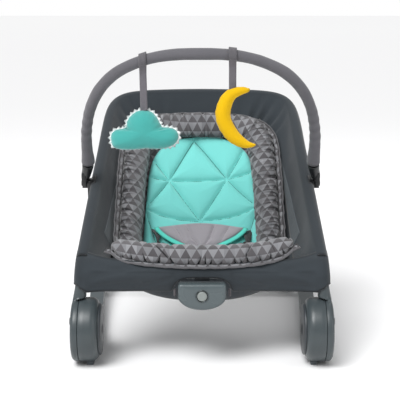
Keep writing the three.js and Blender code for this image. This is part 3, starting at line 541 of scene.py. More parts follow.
def arc(cx, cy, r, a0, a1, steps=6):
    """Points round a circle, in degrees."""
    return [(cx + r * math.cos(math.radians(a0 + (a1 - a0) * i / steps)),
             cy + r * math.sin(math.radians(a0 + (a1 - a0) * i / steps))) for i in range(steps + 1)]


def prism(name, outline, low, high, to_space, look, body, bevel=2.0, segments=3, flip=False, **rest):
    """An outline extruded from low to high, with rounded edges. to_space(a, b, c) places a point."""
    bm = bmesh.new()
    ends = [[bm.verts.new(to_space(a, b, c)) for a, b in outline] for c in (low, high)]
    caps = [bm.faces.new(ends[0][::-1]), bm.faces.new(ends[1])]
    for i in range(len(outline)):
        j = (i + 1) % len(outline)
        bm.faces.new((ends[0][i], ends[0][j], ends[1][j], ends[1][i]))
    edges = [e for e in bm.edges if any(f in caps for f in e.link_faces)]
    bmesh.ops.bevel(bm, geom=edges, offset=bevel, segments=segments, profile=0.5, affect="EDGES")
    bmesh.ops.recalc_face_normals(bm, faces=bm.faces)
    bm.verts.index_update()
    points = [v.co[:] for v in bm.verts]
    faces = [[v.index for v in f.verts] for f in bm.faces]
    bm.free()
    uv = [[((points[k][0] + points[k][1]) * MM, points[k][2] * MM) for k in f] for f in faces]
    obj = mesh_object(name, points, faces, look, body, uv=uv, flip=flip, **rest)
    sharpen(obj)
    return obj


def sharpen(obj, degrees=35):
    """Smooth shading that keeps hard edges hard."""
    limit = math.radians(degrees)
    bm = bmesh.new()
    bm.from_mesh(obj.data)
    for e in bm.edges:
        e.smooth = not (len(e.link_faces) == 2 and e.calc_face_angle(0) > limit)
    bm.to_mesh(obj.data)
    bm.free()


def rounded_box(half_a, half_b, corner, steps=5):
    """Outline of a rectangle with round corners, anticlockwise."""
    out = []
    for sa, sb, a0 in ((1, -1, -90), (1, 1, 0), (-1, 1, 90), (-1, -1, 180)):
        out += arc(sa * (half_a - corner), sb * (half_b - corner), corner, a0, a0 + 90, steps)
    return out


def round_over(k):
    """A quarter circle's rise: 0 where k is 0, up to 1 where k is 1 or more."""
    return np.sqrt(np.clip(1 - (1 - np.clip(k, 0, 1)) ** 2, 0, 1))


def joined(outline):
    """An outline with its first point again at its end."""
    return np.vstack([outline, outline[:1]])


def repaint(name, look):
    """Gives its material to a CAD node that is shown as it is."""
    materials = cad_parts[name].data.materials
    materials.clear()
    materials.append(MAT[look])


def smooth_noise(p, scale, seed=0.0):
    """Perlin noise for an array of points in millimetres, about -1 to 1."""
    flat = np.asarray(p, float).reshape(-1, 3) / scale + seed
    return np.array([noise.noise(Vector(q)) for q in flat]).reshape(np.asarray(p).shape[:-1])


def run_length(path):
    """How far along the path each of its points is."""
    return np.concatenate([[0], np.cumsum(np.linalg.norm(np.diff(path, axis=0), axis=1))])


def stitches(name, path, ups, look, body, length=3.6, gap=2.2, radius=0.45, **rest):
    """A run of small stitches along a path, each one a short bead of thread lying on the cloth."""
    path, ups = np.asarray(path, float), np.asarray(ups, float)
    far = run_length(path)
    points, faces = [], []
    sides, rows = 6, ((0, 0.25), (0.2, 0.9), (0.5, 1.0), (0.8, 0.9), (1, 0.25))

    def spot(d, what):
        return np.array([np.interp(d, far, what[:, i]) for i in range(3)])
    for k in range(int(far[-1] / (length + gap))):
        d0 = k * (length + gap) + gap / 2
        a, b = spot(d0, path), spot(d0 + length, path)
        up = unit_vectors(spot(d0 + length / 2, ups))
        out = unit_vectors(np.cross(b - a, up))
        first = len(points)
        for f, size in rows:
            lift = radius * (0.6 * math.sin(math.pi * f))
            for s in range(sides):
                q = TAU * s / sides
                points.append(a + (b - a) * f + out * math.cos(q) * radius * size
                              + up * (math.sin(q) * radius * size * 0.8 + lift))
        found, _ = grid_faces(len(rows), sides, closed=True, start=first)
        last = first + (len(rows) - 1) * sides
        faces += found + [tuple(range(first + sides - 1, first - 1, -1)),
                          tuple(range(last, last + sides))]
    return mesh_object(name, points, faces, look, body, **rest)


def catmull(points, n=1201):
    """Centripetal Catmull-Rom curve, sampled evenly in its parameter."""
    p = np.array(points, float)
    ext = np.vstack([2 * p[0] - p[1], p, 2 * p[-1] - p[-2]])
    at = np.linspace(0, 1, n) * (len(p) - 1)
    i = np.minimum(at.astype(int), len(p) - 2)
    w = (at - i)[:, None]
    q = [ext[i + k] for k in range(4)]
    d = [np.maximum(((q[k + 1] - q[k]) ** 2).sum(1) ** 0.25, 1e-4)[:, None] for k in range(3)]
    t1 = ((q[1] - q[0]) / d[0] - (q[2] - q[0]) / (d[0] + d[1]) + (q[2] - q[1]) / d[1]) * d[1]
    t2 = ((q[2] - q[1]) / d[1] - (q[3] - q[1]) / (d[1] + d[2]) + (q[3] - q[2]) / d[2]) * d[1]
    return q[1] + t1 * w + (-3 * q[1] + 3 * q[2] - 2 * t1 - t2) * w ** 2 + (2 * q[1] - 2 * q[2] + t1 + t2) * w ** 3


def even(path, n):
    """The same path as n evenly spaced points."""
    far = run_length(path)
    at = np.linspace(0, far[-1], n)
    return np.stack([np.interp(at, far, path[:, i]) for i in range(3)], 1)


def path_length(path):
    return float(np.linalg.norm(np.diff(np.asarray(path, float), axis=0), axis=1).sum())


# ---------------------------------------------------------------- the seat's surface
SEAT_ROWS = [
    (218, (4, 192), (6, 190)), (217, (24, 206), (40, 146)), (215, (62, 230), (90, 102)),
    (212, (112, 260), (148, 103)), (208, (182, 302), (222, 163)), (200, (282, 362), (315, 268)),
    (193, (380, 422), (396, 373)), (180, (430, 450), (436, 430)), (152, (447, 459), (457, 463)),
]
SPAN = np.linspace(0, 1, 1201)
HALF_WIDTH = catmull([(w, i * 40, 0) for i, (w, _, _) in enumerate(SEAT_ROWS)])[:, 0]
TUBE_LINE = catmull([(0, *tube) for _, tube, _ in SEAT_ROWS])
MIDDLE_LINE = catmull([(0, *middle) for _, _, middle in SEAT_ROWS])


def seat(s, c):
    """The cover's surface: s from 0 at the front to 1 at the head, c from -1 to 1 across."""
    s, c = np.broadcast_arrays(np.clip(np.asarray(s, float), 0, 1), np.asarray(c, float))
    sag = 1 - np.abs(c) ** 3
    y, z = (np.interp(s, SPAN, TUBE_LINE[:, i]) * (1 - sag) + np.interp(s, SPAN,
                                                                        MIDDLE_LINE[:, i]) * sag
            for i in (1, 2))
    return np.stack([c * np.interp(s, SPAN, HALF_WIDTH), y, z], -1)


def seat_normal(s, c):
    s, c = np.broadcast_arrays(np.asarray(s, float), np.asarray(c, float))
    along = seat(np.minimum(s + 0.01, 1), c) - seat(np.maximum(s - 0.01, 0), c)
    across = seat(s, np.minimum(c + 0.02, 1)) - seat(s, np.maximum(c - 0.02, -1))
    return unit_vectors(np.cross(across, along))


def above(s, c, height):
    s, c, height = np.broadcast_arrays(*(np.asarray(v, float) for v in (s, c, height)))
    return seat(s, c) + seat_normal(s, c) * height[..., None]


ROW_LENGTH = run_length(seat(SPAN, SPAN * 0 + 0.3))


def flat_place(s, c):
    """Where a point of the seat lies on the flat cloth, in millimetres."""
    s, c = np.broadcast_arrays(np.asarray(s, float), np.asarray(c, float))
    return np.stack([c * np.interp(s, SPAN, HALF_WIDTH), np.interp(s, SPAN, ROW_LENGTH)], -1)


def line_distance(p, a, b):
    """Distance from points to a segment, and how far along it they are, in millimetres."""
    ab = b - a
    k = np.clip(((p - a) @ ab) / (ab @ ab), 0, 1)
    return np.linalg.norm(p - (a + k[..., None] * ab), axis=-1), k * np.linalg.norm(ab)


FRAME_PATH = [
    (230, -2, HUB_Z + DRUM_R + 3), (230, -2, 150), (229, -2, 172), (227, 9, 197), (225.5, 27, 211),
    (221.5, 90, 250), (216, 180, 304), (208, 293, 374), (201, 390, 433), (194, 424, 452),
    (178, 446, 464),
    (150, 457, 469), (80, 466, 472), (0, 469, 473),
]
HALF_FRAME = even(catmull(FRAME_PATH), 601)
FULL_FRAME = np.vstack([HALF_FRAME, HALF_FRAME[-2::-1] * (-1, 1, 1)])


HOOP_START = 300  # where the side tubes begin to turn in towards the hoop


def frame_key(p):
    """Grows along half the seat frame, from the neck round to the middle of the hoop."""
    p = np.asarray(p, float)
    turn = np.arctan2(p[..., 1] - HOOP_START, np.abs(p[..., 0]))
    return np.where(p[..., 1] < HOOP_START, p[..., 1], HOOP_START + turn * 200)


def frame_beside(p):
    """The seat tube's nearest centre and its direction, for points near the cover's edge."""
    index = np.interp(frame_key(p), frame_key(HALF_FRAME), np.arange(len(HALF_FRAME)))
    index = np.where(p[:, 0] < 0, len(FULL_FRAME) - 1 - index, index)
    slots = np.arange(len(FULL_FRAME))
    slope = np.gradient(FULL_FRAME, axis=0)
    at = np.stack([np.interp(index, slots, FULL_FRAME[:, i]) for i in range(3)], 1)
    along = unit_vectors(np.stack([np.interp(index, slots, slope[:, i]) for i in range(3)], 1))
    return at, along


# ---------------------------------------------------------------- base
def rail_outline():
    def under(y):
        return 1.5 + (y - 190) ** 2 / 4300
    end, height, hub = 540, 33, DRUM_R - 2.5
    low = [(y, under(y)) for y in np.linspace(26, end - 14, 40)]
    tail_z = under(end - 14) + height / 2
    tail = [(end - 14 + 14 * math.cos(a), tail_z + height / 2 * math.sin(a)) for a in np.linspace(-1.2,
                                                                                                  1.2,
                                                                                                  9)]
    top = [(y, under(y) + height) for y in np.linspace(end - 14, 132, 30)]
    start = top[-1]
    control, last = (84, 45), (55, 87)
    neck = [tuple((1 - k) ** 2 * start[i] + 2 * k * (1 - k) * control[i] + k * k * last[i] for i in (0,
                                                                                                     1))
            for k in np.linspace(0.1, 1, 10)]
    bore = arc(0, HUB_Z, hub, 21, -64, 14)
    return low + tail + top + neck + bore


REAR_TUBE = (500, 44)  # its centre, which is the kickstand's axis too
STAND_X = 208  # of the kickstand's legs
FOLD_BUTTON = (0, HUB_Z + 15)
RAIL_SPLAY = math.atan(0.06)


def make_base():
    slope = RAIL_SPLAY
    for side, word in SIDES:
        def place(a, b, c, side=side):
            x, y = 198 + c * math.cos(slope) + a * math.sin(slope), a * math.cos(slope) - c * math.sin(slope)
            return side * x, y, b
        prism(f"rail_{word}", rail_outline(), 0, 30, place, "plastic", "base", bevel=5, segments=4,
              slot="moulding", replaces=[f"base_rail_{word}"])
        profile = [(6.6, 196.3), (44, 196.3), (45.2, 196.8), (46, 196.2)]
        profile += [(r, x) for x, r in arc(211, 46, 15, 180, 90, 10)]
        profile += [(61.25, 222), (61, 231.6), (60.3, 232.6), (53, 232.6), (53, 204), (6.6, 204)]
        lathe(f"drum_{word}", looped(profile), "plastic", "base", side, slot="moulding")
        cap = [(10, 191), (43, 191), (47, 191.6), (48.6, 193), (49, 195.2), (49, 195.8), (10, 195.8)]
        lathe(f"hub_disc_{word}", looped(cap), "plastic_dark", "base", side, slot="moulding",
              replaces=[f"drum_cap_{word}"])
        bolt = [(0.5, 191.6), (3.6, 191.6), (4, 193.4), (7.6, 193.4), (9, 192.6), (9.2, 193.4),
                (9.2, 195.9),
                (6, 195.9), (6, 235), (0.5, 235)]
        lathe(f"axle_{word}", bolt, "steel", "base", side, slot="steel", replaces=[f"hub_axle_{word}"],
              sides=40)
        repaint(f"front_pad_{word}", "pad_rubber")
    rod("rear_tube", (-244, *REAR_TUBE), (244, *REAR_TUBE), 10, "tube", "base", slot="dark_moulding",
        replaces=["rear_cross_tube"])
    for side, word in SIDES:
        plug = [(0.5, 243.6), (9.2, 243.6), (10.4, 244.2), (10.4, 245.6), (8.5, 247), (0.5, 247.4)]
        lathe(f"rear_tube_plug_{word}", plug, "rubber", "base", side, centre=REAR_TUBE, sides=40,
              slot="rubber")


def make_kickstand():
    path = [(-208, 502, 38), (-208, 509, 30), (-207, 511.5, 26.5), (-203, 512, 25), (-190, 512, 25),
            (0, 512, 25),
            (190, 512, 25), (203, 512, 25), (207, 511.5, 26.5), (208, 509, 30), (208, 502, 38)]
    path = even(catmull(path), 120)
    rings = sweep_rings(path, 5.5, (0, 0.3, 1), 28)
    ring_solid("kickstand_bar", rings, "plastic_dark", "kickstand", slot="dark_moulding",
               replaces=["kickstand_frame"])
    for side, word in SIDES:
        collar = [(10.5, 200), (14.4, 200), (15, 200.6), (15, 215.4), (14.4, 216), (10.5, 216)]
        lathe(f"kickstand_collar_{word}", looped(collar), "plastic_dark", "kickstand", side,
              centre=REAR_TUBE, sides=48, slot="dark_moulding")
        x = side * STAND_X
        rod(f"kickstand_leg_{word}", (x, 503, 36), (x, 517.4, 9.2), 6, "plastic_dark", "kickstand",
            slot="dark_moulding")
        prism(f"stand_foot_{word}", rounded_box(9, 11, 3.5), 0.05, 12,
              lambda a, b, c, x=x: (x + a, 518 + b, c), "rubber", "kickstand", bevel=1.4,
              slot="rubber", replaces=[f"kickstand_foot_{word}"])


# ---------------------------------------------------------------- hubs
# the neck moulding's flat sections: height, inner and outer side, and half depth
NECK = (
    (100, 234.6, 246.4, 27), (108, 234.4, 246.5, 25), (118, 234.2, 246, 21.5),
    (124, 234.1, 245.6, 18.5),
    (127.6, 234.0, 245.2, 16.2), (128.4, 221.2, 245.1, 14.8), (131, 219.6, 244.6, 13.6),
    (138, 219.5, 243.2, 12),
    (146, 219.7, 241.6, 11), (152.5, 219.9, 240.6, 10.4), (154, 220.8, 239.6, 9.6),
    (154.4, 222, 238.2, 8.4),
)


def powered(value, power):
    """A cosine or sine raised to a power, with its own sign: under 1 makes a round section squarer."""
    return math.copysign(abs(value) ** power, value)


def neck_rings(side):
    """The neck moulding's sections, from the hub cover up to the seat tube."""
    rings = []
    for z, x0, x1, half in NECK:
        flat = max(0.0, min(1.0, (128 - z) / 6))
        power = 0.55 * flat + 1.0 * (1 - flat)
        ring = []
        for k in range(56):
            a = TAU * k / 56
            cx, sy = powered(math.cos(a), power), powered(math.sin(a), power)
            ring.append((side * ((x0 + x1) / 2 + cx * (x1 - x0) / 2), -2 + 2 * flat + sy * half, z))
        rings.append(ring)
    return rings


def make_hubs():
    for side, word in SIDES:
        outer = [(0.5, 207.4), (27.4, 207.4), (28, 208), (28, 233.5), (60.4, 233.4), (60.9, 233.5),
                 (61, 233.9)]
        outer += [(r, x) for x, r in arc(239, 53, 8, 88, 0, 9)]
        outer += [(40, 247.35), (24.6, 247.5), (24, 246.9), (23.2, 247.3), (0.5, 247.4)]
        lathe(f"hub_shell_{word}", outer, "plastic", "seat", side, slot="moulding",
              replaces=[f"hub_cover_{word}"])
        ring_solid(f"neck_{word}", neck_rings(side), "plastic", "seat", slot="moulding", flip=side < 0)
        press = [(0.5, 236), (8.1, 236), (8.3, 250.5), (8, 252), (6.9, 253), (5.2, 252.8), (3, 252.2),
                 (0.5, 252)]
        lathe(f"fold_button_{word}", press, "plastic_dark", f"release_{word}", side, centre=FOLD_BUTTON,
              sides=48, slot="dark_moulding", replaces=[f"release_button_{word}"])
        rim = [(8.8, 247.1), (10.2, 248.3), (11.4, 248), (12, 247)]
        lathe(f"button_rim_{word}", looped(rim), "plastic", "seat", side, centre=FOLD_BUTTON, sides=48,
              slot="moulding")
        repaint(f"lock_ring_{word}", "steel")


# ---------------------------------------------------------------- seat frame and cover
def make_seat_frame():
    tube = HALF_FRAME[:440:4]
    hoop = np.vstack([HALF_FRAME[441::3], (HALF_FRAME[441::3] * (-1, 1, 1))[-2::-1]])
    for side, word in SIDES:
        path = tube * (side, 1, 1)
        ring_solid(f"frame_tube_{word}", sweep_rings(path, 8.5, (0, -1, 0.3), 32), "tube", "seat",
                   slot="steel",
                   replaces=[f"side_tube_{word}"])
    ring_solid("hoop_tube", sweep_rings(hoop, 8.5, (0, 0, 1), 32), "tube", "seat", slot="steel",
               replaces=["back_hoop"])
    rod("front_bar", (-APRON_HALF, -1, 172), (APRON_HALF, -1, 172), 7.5, "tube", "seat", slot="steel",
        replaces=["front_tube"])


S_FRONT, S_HEAD, C_EDGE = 0.03, 0.885, 0.875  # the cover's own panel on the seat's surface
# long folds of that panel: (s, c) to (s, c), depth, half width
COVER_CREASES = [(0.08, 0.60, 0.20, 0.84, 2.4, 10), (0.06, 0.2, 0.14, 0.7, 2.0, 12)]
# where the wide edge panel is sewn to the cover, under the ring bolster's flange: (s, c)
PANEL_SEAM = [
    (0.045, 0.835), (0.2, 0.835), (0.4, 0.84), (0.58, 0.84), (0.68, 0.825), (0.75, 0.755), (0.8, 0.62),
    (0.832, 0.4), (0.842, 0.2), (0.845, 0),
]
RIM_R = 11.5  # of the edge panel round the seat tube
RIM_WRAP = math.radians(318)  # how far round the tube it goes
RIM_POINTS = 561
FOLD_CORNERS = (0.402, 0.598)  # where along the edge panel's seam the bolster's top corners are
MESH_ROWS = slice(52, 176)  # the part of the edge panel that is mesh
# gathers that fan out from the ring bolster's top corners: distance along the seam from the corner,
# slant, depth
# and half width, in millimetres
GATHERS = [
    (-50, -15, 2.0, 8), (-27, -9, 3.6, 6.5), (-6, -2, 5.0, 5.5), (12, 3, 4.4, 6), (38, 12, 2.8, 8),
]


def crease_depth(flat, creases):
    """How far folds push the cloth in, for flat places in millimetres."""
    depth = np.zeros(flat.shape[:-1])
    for s0, c0, s1, c1, deep, wide in creases:
        for sign in (1, -1):
            a, b = flat_place(s0, c0 * sign), flat_place(s1, c1 * sign)
            d, k = line_distance(flat, a, b)
            fade = np.clip(k / 12, 0.25, 1) * np.clip((np.linalg.norm(b - a) - k) / 30, 0, 1) ** 0.5
            fold = np.exp(-(d / wide) ** 2) - 0.45 * np.exp(-((d - 1.9 * wide) / wide) ** 2)
            depth = depth + deep * fade * fold
    return depth


def make_cover():
    s = np.linspace(S_FRONT, S_HEAD, 140)[:, None]
    c = (np.linspace(-1, 1, 111) * C_EDGE)[None, :]
    flat = flat_place(s, c)
    low = smooth_noise(np.concatenate([flat, flat[..., :1] * 0], -1), 70, 3.1) * 1.6
    fade = np.clip((C_EDGE - np.abs(c)) / 0.1, 0, 1)
    top = above(s, c, -4.2 + (low - crease_depth(flat, COVER_CREASES)) * fade)
    cloth("seat_cover", top, "charcoal", "seat", thick=1.3, side=-1, slot="charcoal_fabric",
          replaces=["seat_sling"])
    make_rim()


def smoothed(rows, passes):
    rows = rows.copy()
    for _ in range(passes):
        rows[1:-1] = (rows[:-2] + 2 * rows[1:-1] + rows[2:]) / 4
    return rows


def panel_folds(far, k):
    """How far the edge panel's gathers push it in: far along its seam, k from 0 at the seam to 1 at the tube."""
    depth = np.zeros(np.broadcast(far, k).shape)
    for share in FOLD_CORNERS:
        corner = far.max() * share
        way = 1 if share < 0.5 else -1
        for start, slant, deep, wide in GATHERS:
            d = way * (far - corner) - start - slant * k
            spread = wide * (0.65 + 0.6 * k)
            fold = np.exp(-(d / spread) ** 2) - 0.5 * np.exp(-((d - 1.7 * spread) / spread) ** 2)
            depth = depth + deep * fold * (1 - k ** 1.6) * np.clip(k / 0.1, 0.3, 1)
    return depth


def make_rim():
    """The cover's wide edge panel: from its seam over the seat tube and back underneath."""
    seam = even(catmull([(s, c, 0) for s, c in PANEL_SEAM]), 300)
    edge = above(seam[:, 0], seam[:, 1], -2.2)
    edge = even(np.vstack([edge, edge[-2::-1] * (-1, 1, 1)]), RIM_POINTS)
    at, along = frame_beside(edge)
    at, along = smoothed(at, 60), unit_vectors(smoothed(along, 60))
    inward = edge - at
    inward = unit_vectors(inward - (inward * along).sum(1, keepdims=True) * along)
    up = np.cross(along, inward)
    up *= np.sign(up @ np.array([0, -0.6, 0.8]))[:, None]
    gap = ((edge - at) * inward).sum(1)
    touch = np.arccos(np.clip(RIM_R / gap, 0.0, 0.85))
    far = np.linspace(0, path_length(edge), len(edge))
    slack = smooth_noise(np.stack([far, far * 0, far * 0], 1), 60, 5.5) * 0.35
    turn = touch[:, None] + (RIM_WRAP - touch[:, None]) * np.linspace(0, 1, 26)[None, :]
    wrap = at[:, None] + (RIM_R + slack)[:, None, None] * (
        np.cos(turn)[..., None] * inward[:, None] + np.sin(turn)[..., None] * up[:, None])
    k = np.linspace(0, 1, 27)[None, :-1]
    flat = edge[:, None] + (wrap[:, :1] - edge[:, None]) * k[..., None]
    face = unit_vectors(np.cross(along, wrap[:, 0] - edge))
    face *= np.sign((face * up).sum(1))[:, None]
    spread = np.stack(np.broadcast_arrays(far[:, None], k * 60, k * 0), -1)
    wander = smooth_noise(spread, 46, 1.4)
    dip = 3.4 * np.sin(math.pi * k) ** 1.2 + panel_folds(far[:, None],
                                                         k) + 1.3 * wander * np.sin(math.pi * k)
    rows = np.concatenate([flat - face[:, None] * dip[..., None], wrap], 1)
    cloth("cover_rim", rows, "charcoal", "seat", thick=1.2, side=1, slot="charcoal_fabric",
          replaces=["frame_sleeve_left", "frame_sleeve_right"])
    lifted = rows + grid_normals(rows) * 0.1
    stitches("rim_stitching", lifted[6:-6, -5], -up[6:-6], "charcoal_thread", "seat",
             slot="charcoal_fabric",
             radius=0.4, length=3.2)
    for word, i in (("right", 0), ("left", -1)):
        rings = sweep_rings(rows[i, 25:], 1.5, along[i], 12)
        ring_solid(f"rim_end_{word}", rings, "charcoal_dark", "seat", slot="charcoal_fabric")
    make_side_mesh(rows, up)


def make_side_mesh(rows, up):
    """A long wedge of mesh on each side of the edge panel, narrowing towards the head."""
    for side, word in SIDES:
        panel = (rows if side > 0 else rows[::-1])[MESH_ROWS]
        ups = (up if side > 0 else up[::-1])[MESH_ROWS]
        reach = np.linspace(0.40, 0.04, len(panel)) ** 0.9 * 24
        spots = 1 + np.linspace(0, 1, 12)[None, :] * reach[:, None]
        whole = spots.astype(int)
        rest = (spots - whole)[..., None]
        row = np.arange(len(panel))[:, None]
        mesh = panel[row, whole] * (1 - rest) + panel[row, whole + 1] * rest
        lift = grid_normals(mesh)
        lift *= np.sign((lift * ups[:, None]).sum(-1))[..., None]
        mesh = mesh + lift * 0.9
        cloth(f"side_mesh_{word}", mesh, "mesh", "seat", thick=0.8, side=side, slot="charcoal_fabric")
        stitches(f"mesh_stitching_{word}", mesh[:, -1] + lift[:, -1] * 0.3, lift[:, -1],
                 "charcoal_thread", "seat",
                 slot="charcoal_fabric", radius=0.35, length=2.8)


def neck_at(z):
    """The seat tube's centre at a height on the neck."""
    low = HALF_FRAME[:160]
    return np.interp(z, low[:, 2], low[:, 0]), np.interp(z, low[:, 2], low[:, 1])


APRON_FLAT = 0.80  # the share of the apron's width that is in front; the rest wraps round the necks
APRON_HALF = 217  # half width of that part
APRON_R = 12.2  # round each neck
ARCH_HALF, ARCH_RISE = 57, 30.5  # the cut for the vibration unit
# slanting folds of the apron, on both sides: (x, z) to (x, z), depth, half width
APRON_FOLDS = ((212, 168, 110, 190, 2.4, 8), (208, 150, 120, 160, 1.8, 7), (60, 166, 120, 150, 1.6, 6),
               (214, 190, 150, 180, 1.4, 6))


def apron_point(a, b):
    """a from -1 to 1 across, wrapping round both necks; b from 0 at the top to 1 at the hem."""
    side = 1 if a >= 0 else -1
    k = min(abs(a) / APRON_FLAT, 1)
    w = max(0.0, (abs(a) - APRON_FLAT) / (1 - APRON_FLAT))
    hem = 140 + 2 * k
    x_flat = APRON_HALF * k
    if x_flat < ARCH_HALF:
        hem += ARCH_RISE * (1 - (x_flat / ARCH_HALF) ** 4) ** 0.5
    if w > 0:
        hem = hem + (156 - hem) * min(1, w * 7)
    head = 197 + 15 * k ** 4
    z = head + (hem - head) * b
    lean = max(0.0, z - 180)
    tuck = max(0.0, 174 - z)
    y_front = -14.5 + lean ** 1.25 * 0.34 + tuck ** 2 * 0.0125
    nx, ny = neck_at(z)
    if w == 0:
        blend = k ** 6
        return np.array([side * x_flat, y_front * (1 - blend) + (ny - APRON_R) * blend, z])
    angle = math.radians(-102 + 250 * w)
    x = nx + APRON_R * math.cos(angle)
    x = APRON_HALF + (x - APRON_HALF) * min(1, w * 12) if w < 1 / 12 else x
    return np.array([side * x, ny + APRON_R * math.sin(angle), z])


def make_apron():
    across = np.concatenate([np.linspace(-1, -APRON_FLAT, 26)[:-1],
                             np.linspace(-APRON_FLAT, APRON_FLAT, 141),
                             np.linspace(APRON_FLAT, 1, 26)[1:]])
    down = np.linspace(0, 1, 34)
    top = np.array([[apron_point(a, b) for a in across] for b in down])
    out = grid_normals(top)
    out *= np.sign((out[..., 1:2] * -1).mean())
    x, z = top[..., 0], top[..., 2]
    folds = smooth_noise(top * (0.35, 0.2, 1), 22, 9.2) * 0.9
    for sign in (1, -1):
        for x0, z0, x1, z1, deep, wide in APRON_FOLDS:
            p = np.stack([x * sign, z], -1)
            d, _ = line_distance(p, np.array([x0, z0], float), np.array([x1, z1], float))
            folds = folds - deep * np.exp(-(d / wide) ** 2)
    edge = np.clip((APRON_FLAT - np.abs(across)) / 0.05, 0.15, 1)[None, :]
    top = top + out * (folds * edge)[..., None]
    cloth("apron", top, "charcoal", "seat", thick=1.2, side=-1, slot="charcoal_fabric",
          replaces=["front_apron"])
    hem = sweep_rings(top[-1] + (0, 0.5, 0), 1.7, (0, -1, 0.2), 12)
    ring_solid("apron_hem", hem, "charcoal_dark", "seat", slot="charcoal_fabric")
    band = slice(28, -28)
    stitches("apron_stitching", (top + out * 0.2)[-3, band], out[-3, band], "grey_thread", "seat",
             slot="charcoal_fabric", radius=0.4, length=3.2)
    for side, word in SIDES:
        loop = [(side * (49.5 + 4 * math.sin(q)), -18 + 5 * math.cos(q)) for q in np.linspace(0,
                                                                                              math.pi,
                                                                                              9)]
        tab = np.array([[(x, y, z) for z in np.linspace(136, 148, 6)] for x, y in loop])
        cloth(f"unit_tab_{word}", tab, "tab", "seat", thick=1.0, slot="charcoal_fabric")


# ---------------------------------------------------------------- padded liner
# half of the ring bolster, from its right end to the middle of its top: s, c, height, half width and
# half thickness
BOLSTER = [
    (0.2, 0.72, 23, 24, 16), (0.34, 0.72, 24, 28, 18), (0.5, 0.73, 24, 29, 18),
    (0.64, 0.73, 24, 29, 18),
    (0.72, 0.68, 24, 30, 18), (0.775, 0.5, 24, 30, 18), (0.795, 0.26, 24, 30, 18), (0.8, 0, 24, 30, 18),
]


BOLSTER_LEFT = 0.055  # how much further out its left side lies, in c
# creases across its top: distance along it and slant
BOLSTER_CREASES = ((118, 0.5), (176, -0.6), (262, 0.5), (330, -0.4), (398, 0.5), (455, -0.7),
                   (610, 0.4),
                   (700, -0.5), (905, 0.6), (990, -0.5), (1105, 0.4))


def bolster_path(n):
    """Centres, seat places, ups and half sizes along the ring bolster, evenly spaced."""
    rows = BOLSTER + [(s, -c - BOLSTER_LEFT, h, w, t) for s, c, h, w, t in BOLSTER[-2::-1]]
    place = catmull([(s * 400, c * 200, h) for s, c, h, _, _ in rows])
    size = catmull([(w, t, i * 20) for i, (_, _, _, w, t) in enumerate(rows)])
    s, c = place[:, 0] / 400, place[:, 1] / 200
    at = above(s, c, place[:, 2])
    far = run_length(at)
    want = np.linspace(0, far[-1], n)

    def pick(v):
        return np.stack([np.interp(want, far, v[:, i]) for i in range(v.shape[1])], 1)
    return pick(at), pick(np.stack([s, c], 1)), unit_vectors(pick(seat_normal(s, c))), pick(size), want


def pucker_rows(length, low, high):
    """Uneven places along a seam where stitches pull the stuffing in, with a depth for each."""
    places, at = [], 6.0
    while at < length - 6:
        places.append((at, 3.2 + 4.6 * RNG.random(), 1.8 + 1.8 * RNG.random(),
                       RNG.uniform(-0.35, 0.35)))
        at += RNG.uniform(low, high)
    return places


def puckered(t, a, places, middle, spread):
    """Depth of the pulled-in seam at distance t and section angle a."""
    swing = np.exp(-((a - middle) / spread) ** 2)
    depth = np.zeros(np.broadcast(t, a).shape)
    for at, deep, wide, slant in places:
        depth += deep * np.exp(-((t - at - slant * 20 * (a - middle)) / wide) ** 2)
    return depth * swing


def flange_rows(root, tip):
    return np.stack([root + (tip - root) * k for k in np.linspace(0, 1, 6)], 1)


